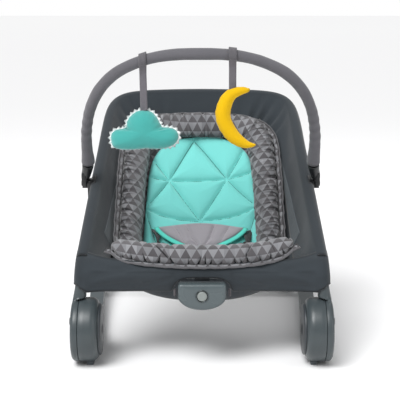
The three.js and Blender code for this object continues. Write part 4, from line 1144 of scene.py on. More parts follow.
def make_ring_bolster():
    n, sides = 620, 48
    at, places, ups, size, far = bolster_path(n)
    along = unit_vectors(np.gradient(at, axis=0))
    out = unit_vectors(np.cross(along, ups))
    rise = np.cross(out, along)
    a = -math.pi / 2 + TAU * np.arange(sides) / sides
    t = far[:, None]
    pinch = puckered(t, a[None, :], pucker_rows(far[-1], 16, 30), 0.2, 0.8)
    pinch += puckered(t, a[None, :], pucker_rows(far[-1], 24, 42), math.pi - 0.1, 0.75) * 0.8
    across = [(place, 2.6, 3.2, slant) for place, slant in BOLSTER_CREASES]
    pinch += puckered(t, a[None, :], across, math.pi / 2, 1.5)
    ends = np.clip(np.minimum(far, far[-1] - far) / 14, 0.05, 1) ** 0.5
    flat = np.where(np.sin(a) < 0, 0.82, 1.0)
    w = (size[:, :1] - pinch) * ends[:, None]
    h = (size[:, 1:2] * flat - pinch * 0.75) * ends[:, None]
    rings = (at[:, None] + out[:, None] * (np.cos(a) * w)[..., None] + rise[:,
                                                                            None] * (np.sin(a) * h)[...,
                                                                                                    None])
    rings = rings + unit_vectors(rings - at[:, None]) * (smooth_noise(rings, 26, 1.7) * 1.1)[..., None]
    flat_at = flat_place(places[:, 0], places[:, 1])
    slope = unit_vectors(np.gradient(flat_at, axis=0))
    side = np.stack([slope[:, 1], -slope[:, 0]], 1)
    angles = np.append(a, a[0] + TAU)
    girth = (math.pi / 2 - angles) * 25
    uv = (flat_at[:, None] + side[:, None] * girth[None, :, None]) * MM
    obj = ring_solid("ring_bolster", rings, "print", "seat", uv_grid=uv, slot="print_fabric",
                     replaces=["bolster_ring"])
    keep = slice(14, n - 14)
    wave = np.sin(far / 6.5) * 0.9 + np.sin(far / 2.9 + 1) * 0.5
    root = at + out * (size[:, :1] * 0.86) - rise * (size[:, 1:2] * 0.52)
    tip = at + out * (size[:, :1] + 6.5) - rise * (size[:, 1:2] * 0.62 + wave[:, None])
    rows = flange_rows(root, tip)[keep]
    uv = (flat_at[:, None] + side[:, None] * (np.linspace(34, 46, 6))[None, :, None])[keep] * MM
    cloth("bolster_flange", rows, "print", "seat", thick=1.4, side=1, uv=uv, slot="print_fabric")
    ring_solid("flange_binding", sweep_rings(tip[keep] + out[keep] * 0.4, 1.5, ups[keep], 10),
               "binding", "seat",
               slot="print_fabric")
    lift = unit_vectors(np.cross(tip - root, along))[keep]
    lift *= np.sign((lift * ups[keep]).sum(1))[:, None]
    stitches("flange_stitching", (root + (tip - root) * 0.72)[keep] + lift * 0.8, lift, "grey_thread",
             "seat",
             slot="print_fabric", radius=0.35, length=2.6, gap=1.8)


KNEE_HALF = 174  # half the knee bolster's length
KNEE_CREASES = ((96, 4.2, 3.2, -0.9), (262, 3.4, 3.0, 0.5), (306, 2.4, 3, -0.4))


def front_middle(u):
    """Middle of the knee bolster: its ends curl up, the right one more."""
    lift = 9 * u ** 2 + np.where(u > 0, 11, 4) * np.abs(u) ** 4
    return np.stack([KNEE_HALF * u, 10 + 17 * u ** 2, 206.5 + lift], -1)


def make_front_bolster():
    n, sides = 300, 48
    u = np.linspace(-1, 1, n)
    at = front_middle(u)
    swell = np.sqrt(np.maximum(1 - np.abs(u) ** 13, 0.02))
    a = -math.pi / 2 + TAU * np.arange(sides) / sides
    t, length = ((u + 1) * KNEE_HALF)[:, None], 2 * KNEE_HALF
    # section: angle 0 points to the front, 90 degrees up
    pinch = puckered(t, a[None, :], pucker_rows(length, 9, 30), -0.75, 0.8)
    pinch += puckered(t, a[None, :], pucker_rows(length, 15, 52), 2.2, 0.9) * 0.7
    pinch += puckered(t, a[None, :], KNEE_CREASES, 0.7, 1.3)
    y = -np.cos(a)[None, :] * (25.5 * swell[:, None] - pinch)
    z = np.sin(a)[None, :] * (20.5 * swell[:, None] - pinch * 0.9)
    rings = at[:, None] + np.stack([y * 0, y, z], -1)
    rings = rings + unit_vectors(rings - at[:, None]) * smooth_noise(rings, 24, 6.1)[..., None]
    angles = np.append(a, a[0] + TAU)
    uv = np.stack(np.broadcast_arrays(at[:, :1] * MM, (angles * 21)[None, :] * MM), -1)
    obj = ring_solid("knee_bolster", rings, "print", "seat", uv_grid=uv, slot="print_fabric",
                     replaces=["front_bolster"], flip=True)
    make_knee_flange()


def make_knee_flange():
    """The flat seam allowance under the knee bolster, bound along its edge and drawn to a point at each end."""
    v = np.linspace(-1.045, 1.045, 200)
    w = np.clip(v, -1, 1)
    middle = front_middle(v)
    tip_pull = np.clip((np.abs(v) - 0.93) / 0.125, 0, 1) ** 1.5
    wave = np.sin(v * 60) * 0.25 + np.sin(v * 31 + 2) * 0.3
    grow = np.sqrt(np.maximum(1 - np.abs(w) ** 13, 0.05))
    root = middle + np.stack([v * 0, -15 * grow, -11.5 * grow], -1)
    tip = middle + np.stack([np.sign(v) * 5 * tip_pull, -(27 - 18 * tip_pull) * np.maximum(grow, 0.6),
                             -(17 + wave) * np.maximum(grow, 0.55)], -1)
    rows = flange_rows(root, tip)
    uv = np.stack(np.broadcast_arrays(middle[:, :1] * MM, -np.linspace(16, 28, 6)[None, :] * MM), -1)
    cloth("knee_flange", rows, "print", "seat", thick=1.4, side=-1, uv=uv, slot="print_fabric")
    ring_solid("knee_binding", sweep_rings(tip + (0, -0.4, -0.2), 2.1, (0, -0.4, 1), 12), "binding",
               "seat",
               slot="print_fabric")


def make_liner():
    s = np.linspace(0.085, 0.83, 90)[:, None]
    reach = 0.80 - 0.10 * np.clip((s - 0.66) / 0.17, 0, 1) ** 2
    c = np.linspace(-1, 1, 90)[None, :] * reach
    top = above(s, c, 1.6 + smooth_noise(flat_place(s, c)[..., [0, 1, 1]], 40, 2.2) * 0.5)
    uv = flat_place(s, c) * MM
    cloth("liner", top, "print", "seat", thick=1.4, side=-1, uv=uv, slot="print_fabric",
          replaces=["pad_liner"])


# the quilted pad's seams: places on the seat, (s, c)
NODES = dict(t=(0.748, -0.09), l=(0.65, -0.36), r=(0.655, 0.28), b=(0.565, -0.02), tl=(0.695, -0.58),
             ml=(0.645, -0.64), ll=(0.57, -0.61), tr=(0.715, 0.48), mr=(0.66, 0.60), lr=(0.575, 0.60),
             gl=(0.50, -0.47), gr=(0.50, 0.45), m=(0.50, 0.02))
SEAMS = "t-l t-r l-r l-b r-b l-tl l-ml l-ll r-tr r-mr r-lr b-ll b-lr ll-gl lr-gr b-m".split()
PAD_S = (0.29, 0.70, 0.757)  # the pad's hidden front edge, where its top starts to round, and its top
PAD_HALF = 0.595
SEAT_HALF = 195  # the seat's half width about the pad, which c is a share of


def pad_half(s):
    rise = np.clip((s - 0.5) / 0.26, 0, 1)
    return PAD_HALF * np.sqrt(np.maximum(1 - rise ** 6, 0.0)) - 0.03 * np.clip((0.42 - s) / 0.12, 0, 1)


def quilt(s, c):
    """Height of the quilted face above the seat's surface."""
    flat = flat_place(s, c)
    near = np.full(flat.shape[:-1], 1e3)
    ripple = np.zeros(flat.shape[:-1])
    for i, seam in enumerate(SEAMS):
        a, b = (flat_place(*NODES[k]) for k in seam.split("-"))
        d, k = line_distance(flat, a, b)
        near = np.minimum(near, d)
        ripple += 0.2 * np.exp(-(d / 8) ** 2) * np.sin(k * TAU / 9.5 + i * 2.1)
    edge = np.maximum(pad_half(s) - np.abs(c), 0) * SEAT_HALF
    puff = 6.0 * (1 - np.exp(-near / 4.2)) + 6.0 * (1 - np.exp(-near / 17)) + 1.5
    return 4 + (puff + ripple) * round_over(edge / 15)


def make_seat_pad():
    low, turn, high = PAD_S
    head = high - (high - turn) * (1 - np.linspace(0, 1, 50)[1:]) ** 2
    s = np.concatenate([np.linspace(low, turn, 250), head])[:, None]
    k = np.sin(np.linspace(-1, 1, 211) * math.pi / 2)
    c = k[None, :] * np.maximum(pad_half(s), 0.02)
    flat = flat_place(s, c)
    height = quilt(s, c) + smooth_noise(np.concatenate([flat, c[..., None] * 0], -1), 30, 4.4) * 0.7
    obj = cloth("quilted_pad", above(s, c, height), "teal", "seat", side=-1, uv=flat * MM,
                under=above(s, c, 3.6), slot="teal_fabric", replaces=["seat_pad"])
    for i, seam in enumerate(SEAMS):
        a, b = (np.array(NODES[k]) for k in seam.split("-"))
        line = a + (b - a) * np.linspace(0.03, 0.97, 60)[:, None]
        s, c = line[np.abs(line[:, 1]) < pad_half(line[:, 0]) - 0.03].T
        # the dark stitching runs almost unbroken down each groove: teal thread, and painted shade for the groove
        stitches(f"quilting_{i}", above(s, c, quilt(s, c) + 0.5), seat_normal(s, c), "teal_thread",
                 "seat",
                 slot="teal_fabric", radius=0.8, length=4.6, gap=0.25)


# the crotch pad: shares of the way down it, and its half widths there
FAN_HALVES = ((0, 0.03, 0.052, 0.0825, 0.1125, 0.1425, 0.1725, 0.2, 1),
              (0.478, 0.465, 0.432, 0.385, 0.322, 0.258, 0.2, 0.16, 0.15))
# its quilting, from place to place: millimetres across from its middle and down from its top edge
FAN_SEAMS = (((2, -56), (-74, 12)), ((2, -56), (-42, 12)), ((2, -56), (36, 12)), ((2, -56), (78, 12)))
FAN_DROP = 130  # its length down the seat


def fan_half(v):
    """Half width of the crotch pad, from its top edge (0) down to where the knee bolster hides it (1)."""
    return np.interp(v, *FAN_HALVES)


def fan_place(u, v):
    """The seat place of a point of the crotch pad: u from -1 to 1 across, v from 0 at the top edge down."""
    return 0.552 - 0.022 * np.abs(u) ** 2.2 - 0.15 * v, u * fan_half(v) - 0.01


def fan_at(u, v, lift=0.0):
    """A point of the crotch pad's quilted face."""
    flat = np.stack([u * fan_half(v) * SEAT_HALF, -v * FAN_DROP], -1)
    d = np.full(flat.shape[:-1], 1e3)
    for a, b in FAN_SEAMS:
        near, _ = line_distance(flat, np.array(a, float), np.array(b, float))
        d = np.minimum(d, near)
    puff = 4.6 * (1 - np.exp(-d / 3.5))
    lip = np.clip(v / 0.035, 0, 1) ** 0.5
    return above(*fan_place(u, v),
                 25.5 + (2.2 + puff) * round_over((1 - np.abs(u)) / 0.16) * lip + lift)


def make_crotch_pad():
    u, v = np.meshgrid(np.linspace(-1, 1, 101), np.linspace(0, 1, 90))
    uv = np.stack([u * fan_half(v) * SEAT_HALF, -v * FAN_DROP], -1) * MM
    obj = cloth("crotch_fan", fan_at(u, v), "grey_pad", "seat", side=1, uv=uv,
                under=above(*fan_place(u, v), 24.4), slot="grey_fabric", replaces=["crotch_pad"])
    for side, word in SIDES:
        w = np.linspace(0.0, 0.21, 60)
        path = fan_at(side * np.ones(60), w, 0.6)
        normal = seat_normal(0.5 + w * 0, side * 0.3 + w * 0)
        _, out, _ = path_frames(path, normal)
        outward = out * np.sign((out[:, 0] * side).mean())
        rings = sweep_rings(path + outward * 4.4, lambda i, a: (5.4, 1.9), normal, 18)
        ring_solid(f"fan_edge_{word}", rings, "teal_edge", "seat", slot="teal_fabric")
    for i, (a, b) in enumerate(FAN_SEAMS):
        k = np.linspace(0.05, 0.95, 50)[:, None]
        flat = np.array(a, float) + k * (np.array(b, float) - a)
        v = -flat[:, 1] / FAN_DROP
        u = flat[:, 0] / (fan_half(np.clip(v, 0, 1)) * SEAT_HALF)
        keep = (np.abs(u) < 0.93) & (v > 0.03)
        u, path = u[keep], fan_at(u, np.clip(v, 0, 1), 0.2)[keep]
        stitches(f"fan_stitching_{i}", path, seat_normal(0.5 + u * 0, u * 0.3), "grey_seam", "seat",
                 slot="grey_fabric", radius=0.4, length=2.8, gap=1.6)


# ---------------------------------------------------------------- harness
BUCKLE = (0.475, 0.39, 31.0)  # where the buckles lie: s, c and height above the seat
STRAP_TOP = (0.530, 0.49, 10.0)  # and where the waist straps go into the seat
WEB_HALF = 9


def harness_frame(sign):
    """A buckle's place, and its directions outwards, along and up."""
    s, c, height = BUCKLE
    place = above(s, c * sign, height)
    out = unit_vectors(above(s, (c + 0.06) * sign, height) - place)
    normal = seat_normal(s, c * sign)
    up = unit_vectors(normal - out * (normal @ out))
    return place, out, np.cross(up, out), up


def make_harness():
    for side, word in SIDES:
        place, out, along, up = harness_frame(side)
        widths = np.linspace(-WEB_HALF, WEB_HALF, 7)

        def spot(a, b, c, place=place, out=out, along=along, up=up):
            return tuple(place + out * a + along * b + up * c)
        body = rounded_box(7.5, 9.8, 3)
        prism(f"buckle_shell_{word}", [(a + 7.5, b) for a, b in body], -4.4, 4.4, spot, "black", "seat",
              bevel=1.6, slot="buckle_plastic", replaces=[f"buckle_{word}"])
        grip = rounded_box(3.2, 9.2, 1.5)
        prism(f"buckle_grip_{word}", [(a + 18.9, b) for a, b in grip], -3.9, 3.9, spot, "black",
              f"tongue_{word}",
              bevel=1.2, slot="buckle_plastic", replaces=[f"buckle_tongue_{word}"])
        begin = place + out * 22.5
        finish_at = above(STRAP_TOP[0], STRAP_TOP[1] * side, STRAP_TOP[2])
        rows = []
        across = unit_vectors(np.cross(finish_at - begin, up)) * side
        for k in np.linspace(0, 1, 26):
            middle = begin + (finish_at - begin) * k + up * 3.0 * math.sin(math.pi * k)
            facing = unit_vectors(along * (1 - k) - across * k)
            rows.append([middle + facing * w for w in widths])
        strap = cloth(f"waist_strap_{word}", rows, "web", None, thick=1.6, side=1,
                      slot="buckle_plastic")
        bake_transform(strap)
        inner = place - out * 2
        rows = [[inner - out * 34 * k - up * 3.5 * k + along * w for w in widths]
                for k in np.linspace(0, 1, 10)]
        strap = cloth(f"crotch_strap_{word}", rows, "web", "seat", thick=1.6, side=1,
                      slot="buckle_plastic")


# ---------------------------------------------------------------- toy bar
BAR_PATH = [
    (227, 177, 345), (226.5, 162, 370), (226.5, 144, 400), (224, 124, 433), (213, 97, 478),
    (192, 74, 517),
    (160, 55.5, 548), (118, 43, 569), (83, 36.5, 579), (45, 33.5, 584), (0, 32.5, 585),
]
BAR_SHIFT = -2.5  # the bar sits a little to the left on its clips
BAR = even(catmull(BAR_PATH + [(-x, y, z) for x, y, z in BAR_PATH[-2::-1]]), 401) + (BAR_SHIFT, 0, 0)
BAR_UP = (0, -1, 0.3)
PIVOT = (240, 195, 315)


def make_toy_bar():
    far = np.linspace(0, path_length(BAR), len(BAR))
    rings = sweep_rings(BAR[2:-2], 6.5, BAR_UP, 28)
    ring_solid("bar_core", rings, "black", "toy_bar", slot="dark_moulding", replaces=["toy_bar_core"])
    inside = slice(8, -8)
    path, run = BAR[inside], far[inside] - far[8]
    total = run[-1]
    flare = 2.4 * (np.exp(-(run / 26) ** 2) + np.exp(-((total - run) / 26) ** 2))
    mouth = np.clip(np.minimum(run, total - run) / 3, 0.0, 1) ** 0.5
    slack = smooth_noise(np.stack([run, run * 0, run * 0], 1), 22, 8.8)
    bend = np.exp(-((run - 95) / 40) ** 2) + np.exp(-((total - run - 95) / 40) ** 2)
    size = (10.8 + flare + 0.35 * slack + bend * 0.45 * np.sin(run / 3.4)) * (0.72 + 0.28 * mouth)
    rings = sweep_rings(path, lambda i, a: size[i] + 0.35 * math.sin(2 * a + run[i] / 31), BAR_UP, 36)
    ring_solid("bar_fabric", rings, "sleeve", "toy_bar", slot="bar_fabric", replaces=["toy_bar_sleeve"])
    back = -path_frames(path, BAR_UP)[2]
    stitches("bar_stitching", path + back * (size[:, None] + 0.2), back, "grey_thread", "toy_bar",
             slot="bar_fabric", radius=0.4, length=3.2)
    make_bar_ends()


def make_bar_ends():
    """The moulded ends that turn on the clips, and the sockets that hold the fabric."""
    lean = math.atan2(PIVOT[1] - BAR_PATH[0][1], BAR_PATH[0][2] - PIVOT[2])
    for side, word in SIDES:
        end = arc(0, 0, 10.5, 200, 340, 16) + [(10, 12), (9.5, 24), (8.5, 30), (-8.5, 30), (-9.5, 24),
                                               (-10, 12)]

        def place(a, b, c, side=side):
            return (side * c + BAR_SHIFT, PIVOT[1] + a * math.cos(lean) - b * math.sin(lean),
                    PIVOT[2] + a * math.sin(lean) + b * math.cos(lean))
        prism(f"bar_end_{word}", end, 232.4, 242, place, "black", "toy_bar", bevel=2.2, segments=4,
              slot="dark_moulding", replaces=[f"toy_bar_end_{word}"])
        up = np.array([0, -math.sin(lean), math.cos(lean)])
        low = np.array([side * 234 + BAR_SHIFT, PIVOT[1], PIVOT[2]]) + up * 14
        high = np.array([side * 227.4 + BAR_SHIFT, PIVOT[1], PIVOT[2]]) + up * 49
        sizes = [5.5, 7.2, 8.6, 10.0, 11.2, 11.6, 11.4, 10.4]
        cuts = [0, 0.04, 0.2, 0.5, 0.8, 0.93, 0.98, 1.0]
        path = np.array([low + (high - low) * k for k in cuts])
        ring_solid(f"bar_socket_{word}", sweep_rings(path, lambda i, a: sizes[i], (0, 1, 0), 40),
                   "black",
                   "toy_bar", slot="dark_moulding")
        cap = [(r, x + side * BAR_SHIFT) for r,
               x in ((0.5, 242.2), (5.4, 242.2), (6.2, 243), (5.4, 244), (0.5, 244.2))]
        lathe(f"pivot_cap_{word}", cap, "black", "seat", side, centre=(PIVOT[1], PIVOT[2]), sides=32,
              slot="dark_moulding")
        make_bar_clip(side, word)


def make_bar_clip(side, word):
    """The clamp on the seat tube, with the boss and tab that carry the bar's pivot."""
    i = int(np.abs(HALF_FRAME[:, 1] - PIVOT[1]).argmin())
    at, along = HALF_FRAME[i], unit_vectors(HALF_FRAME[i + 3] - HALF_FRAME[i - 3])
    out = unit_vectors(np.cross(along, (0, -0.6, 0.8)))
    out *= np.sign(out[0])
    up = np.cross(out, along)
    up *= np.sign(up[2])
    rings = []
    angles = np.radians(np.linspace(-84, 84, 25))
    section = [(12.4, a) for a in angles] + [(14.6, a) for a in angles[::-1]]
    for k in (-11, -10.4, -9, 0, 9, 10.4, 11):
        trim = 0.8 if abs(k) > 10.8 else 0.25 if abs(k) > 10 else 0
        ring = []
        for r, a in section:
            radius = r + trim if r < 14 else r - trim
            p = at + along * k + out * radius * math.cos(a) + up * radius * math.sin(a)
            ring.append((side * p[0], p[1], p[2]))
        rings.append(ring)
    ring_solid(f"bar_clamp_{word}", rings, "black", "seat", slot="dark_moulding", flip=side < 0,
               replaces=[f"toy_bar_clip_{word}"])
    boss = [(0.5, 217), (9.4, 217), (10.4, 218.2), (10.6, 231), (10.2, 232), (5, 232), (5, 243),
            (4.4, 244),
            (0.5, 244)]
    boss = [(r, x + side * BAR_SHIFT) for r, x in boss]
    lathe(f"pivot_boss_{word}", boss, "black", "seat", side, centre=(PIVOT[1], PIVOT[2]), sides=48,
          slot="dark_moulding")
    tab = [(-5, -29), (-3.5, -31), (3.5, -31), (5, -29), (7.5, 0), (-7.5, 0)]
    prism(f"clip_tab_{word}", tab, 223.5, 231.5, lambda a, b, c,
          s=side: (s * c + BAR_SHIFT, PIVOT[1] + a, PIVOT[2] + b),
          "black", "seat", bevel=2, slot="dark_moulding")


def bar_near(x):
    i = int(np.abs(BAR[:, 0] - x).argmin())
    return BAR[i], unit_vectors(BAR[min(i + 2, len(BAR) - 1)] - BAR[i - 2])


def over_bar(at, radius, start, end, n):
    """Points of an arc over the bar, from its front to its back."""
    return [at + radius * (np.array([0, -1, 0]) * math.cos(a) + np.array([0, 0, 1]) * math.sin(a))
            for a in np.linspace(start, end, n)]


def toy_strap(name, x, low_z, body, node_name, drift=0.0):
    """A strap sewn to the toy, taken over the bar and closed on itself."""
    at, along = bar_near(x)
    along = along * np.sign(along[0])
    turn = over_bar(at, 12.2, -0.95, math.pi + 0.95, 34)
    join_z = at[2] - 17.5
    front = [(at[0], at[1] - 2.2, z) for z in np.linspace(low_z, join_z, 14)]
    back = [(at[0], at[1] + 0.6, z) for z in np.linspace(join_z, low_z, 14)]
    path = even(catmull(front[:-1] + [tuple(p) for p in turn[1:-1]] + back[1:]), 110)
    width = 6.9

    def sway(p):
        return drift * (p[2] - at[2]) / 100
    rows = [[p + along * w + (sway(p), 0, 0) for w in np.linspace(-width, width, 7)] for p in path]
    strap = cloth(name, rows, "strap", body, thick=1.1, side=1, slot="bar_fabric", replaces=[node_name])
    wrap = even(np.array(over_bar(at, 13.6, -0.6, math.pi + 0.7, 30)), 40)
    rows = [[p + along * w for w in np.linspace(-width - 0.6, width + 0.6, 7)] for p in wrap]
    fastening = cloth(name + "_fastening", rows, "strap_dark", body, thick=1.2, side=1,
                      slot="bar_fabric")
    box = np.array([(at[0] + sx * 4.6 + sway((0, 0, low_z + 4 + sz)), at[1] - 3.6, low_z + 6 + sz)
                    for sx, sz in ((-1, 0), (1, 0), (1, 9), (-1, 9), (-1, 0), (1, 9))], float)
    stitches(name + "_stitching", even(box, 60), np.tile((0.0, -1.0, 0.0), (60, 1)), "grey_thread",
             body,
             slot="bar_fabric", radius=0.35, length=2.2, gap=1.4)


# ---------------------------------------------------------------- plush toys
CLOUD_OUTLINE = [
    (-172, 423), (-171, 434), (-163, 442), (-152, 444), (-144, 447), (-141, 459), (-134, 469),
    (-123, 477),
    (-108, 480), (-95, 476), (-86, 467), (-80, 456), (-75, 448), (-66, 447), (-53, 444), (-46, 437),
    (-45, 427),
    (-50, 418), (-60, 411), (-77, 407), (-93, 406.5), (-106, 407.5), (-120, 406), (-139, 405),
    (-155, 406),
    (-168, 411),
]
CLOUD_Y, CLOUD_DEPTH = 42.4, 20
CLOUD_MIDDLE = np.array([-108, 437.0])
TRIM_POINTS = 40  # of the lace round the cloud
MOON_MIDDLE = [
    (88.6, 520.6, 1.4), (85.2, 518.6, 4.2), (73, 517, 7.6), (56, 510.8, 10.8), (46.5, 500.5, 12.8),
    (38.9, 477, 14.3), (41, 460, 14.3), (48.6, 444.5, 14), (59.2, 430.8, 13), (72.5, 420.8, 10.6),
    (85, 415.6, 7.2), (95.4, 414.6, 3.8), (101, 415.6, 1.2),
]
MOON_Y, MOON_DEPTH = 34.2, 15


def closed_outline(points, n):
    p = np.array([(x, z, 0) for x, z in points], float)
    whole = catmull(np.vstack([p[-2:], p, p[:3]]), 2401)
    start = int(np.linalg.norm(whole - p[0], axis=1).argmin())
    far = np.linalg.norm(whole[start + 200:] - p[0], axis=1)
    stop = start + 200 + int(far.argmin())
    return even(whole[start:stop + 1], n + 1)[:-1, :2]


def make_cloud():
    n, rows = 260, 34
    outline = closed_outline(CLOUD_OUTLINE, n)
    k = np.sin(np.linspace(0.02, 1, rows) * math.pi / 2)
    flat = CLOUD_MIDDLE + (outline - CLOUD_MIDDLE)[None] * k[:, None, None]
    loop = joined(outline)
    depth = np.full(flat.shape[:2], 1e3)
    for a, b in zip(loop[:-1], loop[1:]):
        d, _ = line_distance(flat, a, b)
        depth = np.minimum(depth, d)
    far = np.arange(n) * path_length(loop) / n
    body = CLOUD_DEPTH * np.sqrt(np.clip(1 - (1 - np.clip(depth / 33, 0, 1)) ** 2.1, 0, 1))
    bend = np.zeros(n)
    for x, z in ((-144, 447), (-75, 448)):
        near = np.linalg.norm(outline - (x, z), axis=1)
        bend += np.exp(-(near / 12) ** 2)
    crimp = np.exp(-depth / 4.5) * (0.5 + 1.3 * bend)[None] * (np.sin(far / 2.3) + 0.7 * np.sin(far / 3.7 + 1))[None]
    seams = np.exp(-depth / 9) * bend[None] * 2.0
    for _ in range(14):
        body = (2 * body + np.roll(body, 3, 1) + np.roll(body, -3, 1)) / 4
        body[1:-1] = (body[:-2] + 2 * body[1:-1] + body[2:]) / 4
        body[-1] = body[-2].mean()
    puff = np.maximum(body - seams + 1.8 * crimp * np.clip(depth / 2.5, 0, 1), 0)
    flat3 = np.concatenate([flat, flat[..., :1] * 0], -1)
    puff = puff * (1 + 0.05 * smooth_noise(flat3, 22, 7.7))
    front = np.stack([flat[..., 0], CLOUD_Y - puff, flat[..., 1]], -1)
    back = np.stack([flat[..., 0], CLOUD_Y + puff * 0.95, flat[..., 1]], -1)
    rings = np.concatenate([front, back[-2::-1]])
    obj = ring_solid("plush_cloud", rings, "cloud", "cloud", slot="cloud_plush", replaces=["toy_cloud"])
    make_cloud_trim()


def make_cloud_trim():
    """The ruffled lace sewn into the cloud's seam, its lobes small along the bottom."""
    trim = closed_outline(CLOUD_OUTLINE, 720)
    far = np.linspace(0, path_length(joined(trim)), 721)[:-1]
    slope = np.roll(trim, -2, 0) - np.roll(trim, 2, 0)
    outward = unit_vectors(np.stack([slope[:, 1], -slope[:, 0]], 1))
    outward *= np.sign(((trim - CLOUD_MIDDLE) * outward).sum())
    lobes = 1 - np.abs(2 * ((far * TRIM_POINTS / far[-1]) % 1) - 1)
    low = np.clip((trim[:, 1] - 406) / 6, 0.25, 1)
    rows = []
    for k in np.linspace(0, 1, 7):
        p = trim + outward * (-2.2 + k * (2.2 + (1.6 + 4.2 * lobes ** 0.8) * low))[:, None]
        ruffle = 1.3 * k * np.sin(far * TAU * TRIM_POINTS / far[-1] + 1)
        rows.append(np.stack([p[:, 0], CLOUD_Y + 0.6 + ruffle, p[:, 1]], -1))
    rows = np.array(rows).transpose(1, 0, 2)
    cloth("cloud_trim", joined(rows), "trim", "cloud", thick=1.3, side=1, slot="cloud_plush")


def make_moon():
    path = even(catmull([(x, 0, z) for x, z, _ in MOON_MIDDLE]), 170)
    marks = catmull([(x, w, z) for x, z, w in MOON_MIDDLE])
    nearest = [int(np.hypot(marks[:, 0] - p[0], marks[:, 2] - p[2]).argmin()) for p in path]
    half = marks[nearest, 1]
    path[:, 1] = MOON_Y
    far = np.linspace(0, path_length(path), len(path))
    creases = smooth_noise(np.stack([far, far * 0, far * 0], 1), 13, 2.9)

    def radii(i, a):
        flat = half[i] * (1 + 0.004 * math.sin(far[i] / 2.6))
        thick = MOON_DEPTH * (half[i] / 14.3) ** 0.75
        inner = max(0.0, math.cos(a))
        pull = 1 - 0.025 * inner ** 4 * (1 + math.sin(far[i] / 2.1)) - 0.008 * creases[i] * abs(math.cos(a))
        lens = 1 - 0.16 * abs(math.cos(a)) ** 6 + 0.16 * abs(math.cos(a)) ** 40
        return flat * pull * (0.94 + 0.06 * lens), thick * pull * (1 - 0.10 * abs(math.cos(a)) ** 2)
    rings = sweep_rings(path, radii, (0, -1, 0), 56)
    obj = ring_solid("plush_moon", rings, "moon", "moon", slot="moon_plush", replaces=["toy_moon"])


# ---------------------------------------------------------------- vibration unit
UNIT_HALF, UNIT_TOP, UNIT_SHOULDER, UNIT_DROP = 45, 163, 140, 27
UNIT_FULLNESS = 0.98
BUTTON_Z = 141


def unit_outline(inset, drop=0.0, n=160):
    """Straight across the top, rounded below: n points starting at the right of the button, anticlockwise."""
    w, top = UNIT_HALF - inset, UNIT_TOP - inset
    low = UNIT_DROP - inset + drop
    corner = 5
    p = [(w, UNIT_SHOULDER)] + [(w, top - corner)] + arc(w - corner, top - corner, corner, 15, 90, 6)
    p += arc(-w + corner, top - corner, corner, 90, 180, 6) + [(-w, UNIT_SHOULDER)]
    for a in np.linspace(math.pi, TAU, 90)[1:]:
        x = powered(math.cos(a), UNIT_FULLNESS)
        p.append((w * x, UNIT_SHOULDER - low * abs(math.sin(a)) ** UNIT_FULLNESS))
    p = np.array([(x, z, 0) for x, z in p])
    return even(p, n + 1)[:-1, :2]


def unit_circle(r, outline):
    a = np.arctan2(outline[:, 1] - BUTTON_Z, outline[:, 0])
    return np.stack([r * np.cos(a), BUTTON_Z + r * np.sin(a)], 1)


def button_rings(profile, steps=48):
    """Rings about the power button's axis, from (radius, y)."""
    return [[(r * math.cos(TAU * k / steps), y, BUTTON_Z + r * math.sin(TAU * k / steps))
             for k in range(steps)] for r, y in profile]


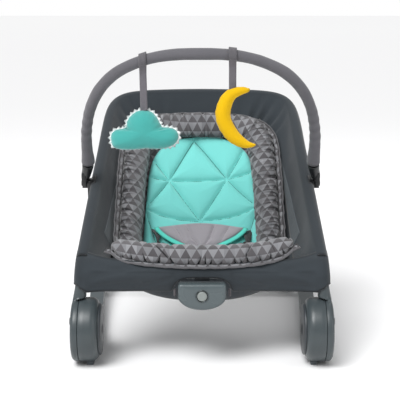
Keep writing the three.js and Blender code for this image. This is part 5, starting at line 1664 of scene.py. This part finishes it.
def make_unit():
    rim = unit_outline(0)
    hole = unit_circle(9.9, rim)

    def ring(flat, y):
        return np.stack([flat[:, 0], np.full(len(flat), float(y)), flat[:, 1]], 1)
    rings = [ring(unit_circle(10.2, rim), -36), ring(hole, -41.2), ring(unit_circle(10.5, rim), -42.4)]
    inner = unit_outline(5)
    for k in (0.15, 0.35, 0.6, 0.85, 1.0):
        flat = unit_circle(11, rim) * (1 - k) + inner * k
        rings.append(ring(flat, -42.5 + 0.9 * k ** 2))
    rings += [ring(unit_outline(i), y) for i,
              y in ((3.2, -41.2), (1.6, -40.1), (0.6, -38.6), (0.1, -36.6),
                                                    (0.0, -34), (0.0, -27), (0.1, -21.4), (0.6, -20.6))]
    rings += [ring(unit_outline(2.4), -20.6), ring(unit_outline(2.6), -38),
              ring(unit_circle(14, rim), -38.4)]
    torus_solid("unit_face", rings, "unit", "seat", slot="unit_plastic", replaces=["unit_front_shell"])
    back = [(1.2, 3, -19.2), (0.2, 3, -18.6), (0.0, 3, -17.5), (0.0, 3, -13), (0.8, 3, -10.4),
            (2.6, 3, -9.2),
            (5, 3, -9.0)]
    rings = [ring(unit_outline(3.2, 3), -13), ring(unit_outline(3.0, 3), -19.2)]
    rings += [ring(unit_outline(i, d), y) for i, d, y in back]
    rings += [ring(unit_outline(5, 3) * (1 - k) + unit_circle(1, rim) * k, -9.0) for k in (0.5, 1)]
    rings = [ring(unit_circle(1, rim), -13)] + rings
    ring_solid("unit_back", rings, "plastic_dark", "seat", slot="unit_plastic",
               replaces=["unit_rear_shell"])
    prism("unit_bracket", rounded_box(14, 15, 3), -9.5, -8.6, lambda a, b, c: (a, c, 165 + b),
          "plastic_dark",
          "seat", bevel=0.4, slot="unit_plastic")
    prism("unit_door", rounded_box(29, 14.5, 3), -10.6, -8.2, lambda a, b, c: (a, c, 131 + b),
          "plastic_dark",
          "seat", bevel=0.8, slot="unit_plastic", replaces=["battery_door"])
    chrome = [(10.2, -42.1), (10.4, -43.4), (11.2, -43.8), (12, -43.4), (12.3, -42.2), (11.2, -41.6)]
    torus_solid("button_ring", button_rings(chrome), "chrome", "seat", slot="unit_plastic")
    cap = [(0.6, -36.4), (3.4, -36.4), (3.4, -39), (9.1, -39), (9.2, -43.6), (8.8, -44.6), (7.8, -45.1),
           (4, -45.0),
           (0.6, -44.9)]
    ring_solid("power_cap", button_rings(cap), "button", "power", slot="button_plastic",
               replaces=["power_button"], flip=True)
    for name, look in (("circuit_board", "board"), ("battery", "cell"), ("vibration_motor", "steel"),
                       ("motor_weight", "steel")):
        repaint(name, look)


def main():
    make_camera()
    make_materials()
    make_stage()
    make_base()
    make_kickstand()
    make_hubs()
    make_seat_frame()
    make_cover()
    make_apron()
    make_liner()
    make_ring_bolster()
    make_front_bolster()
    make_seat_pad()
    make_crotch_pad()
    make_harness()
    make_toy_bar()
    toy_strap("cloud_hanger", -112, 478, "cloud", "cloud_strap", drift=-2.0)
    toy_strap("moon_hanger", 56, 517, "moon", "moon_strap")
    make_cloud()
    make_moon()
    make_unit()


main()
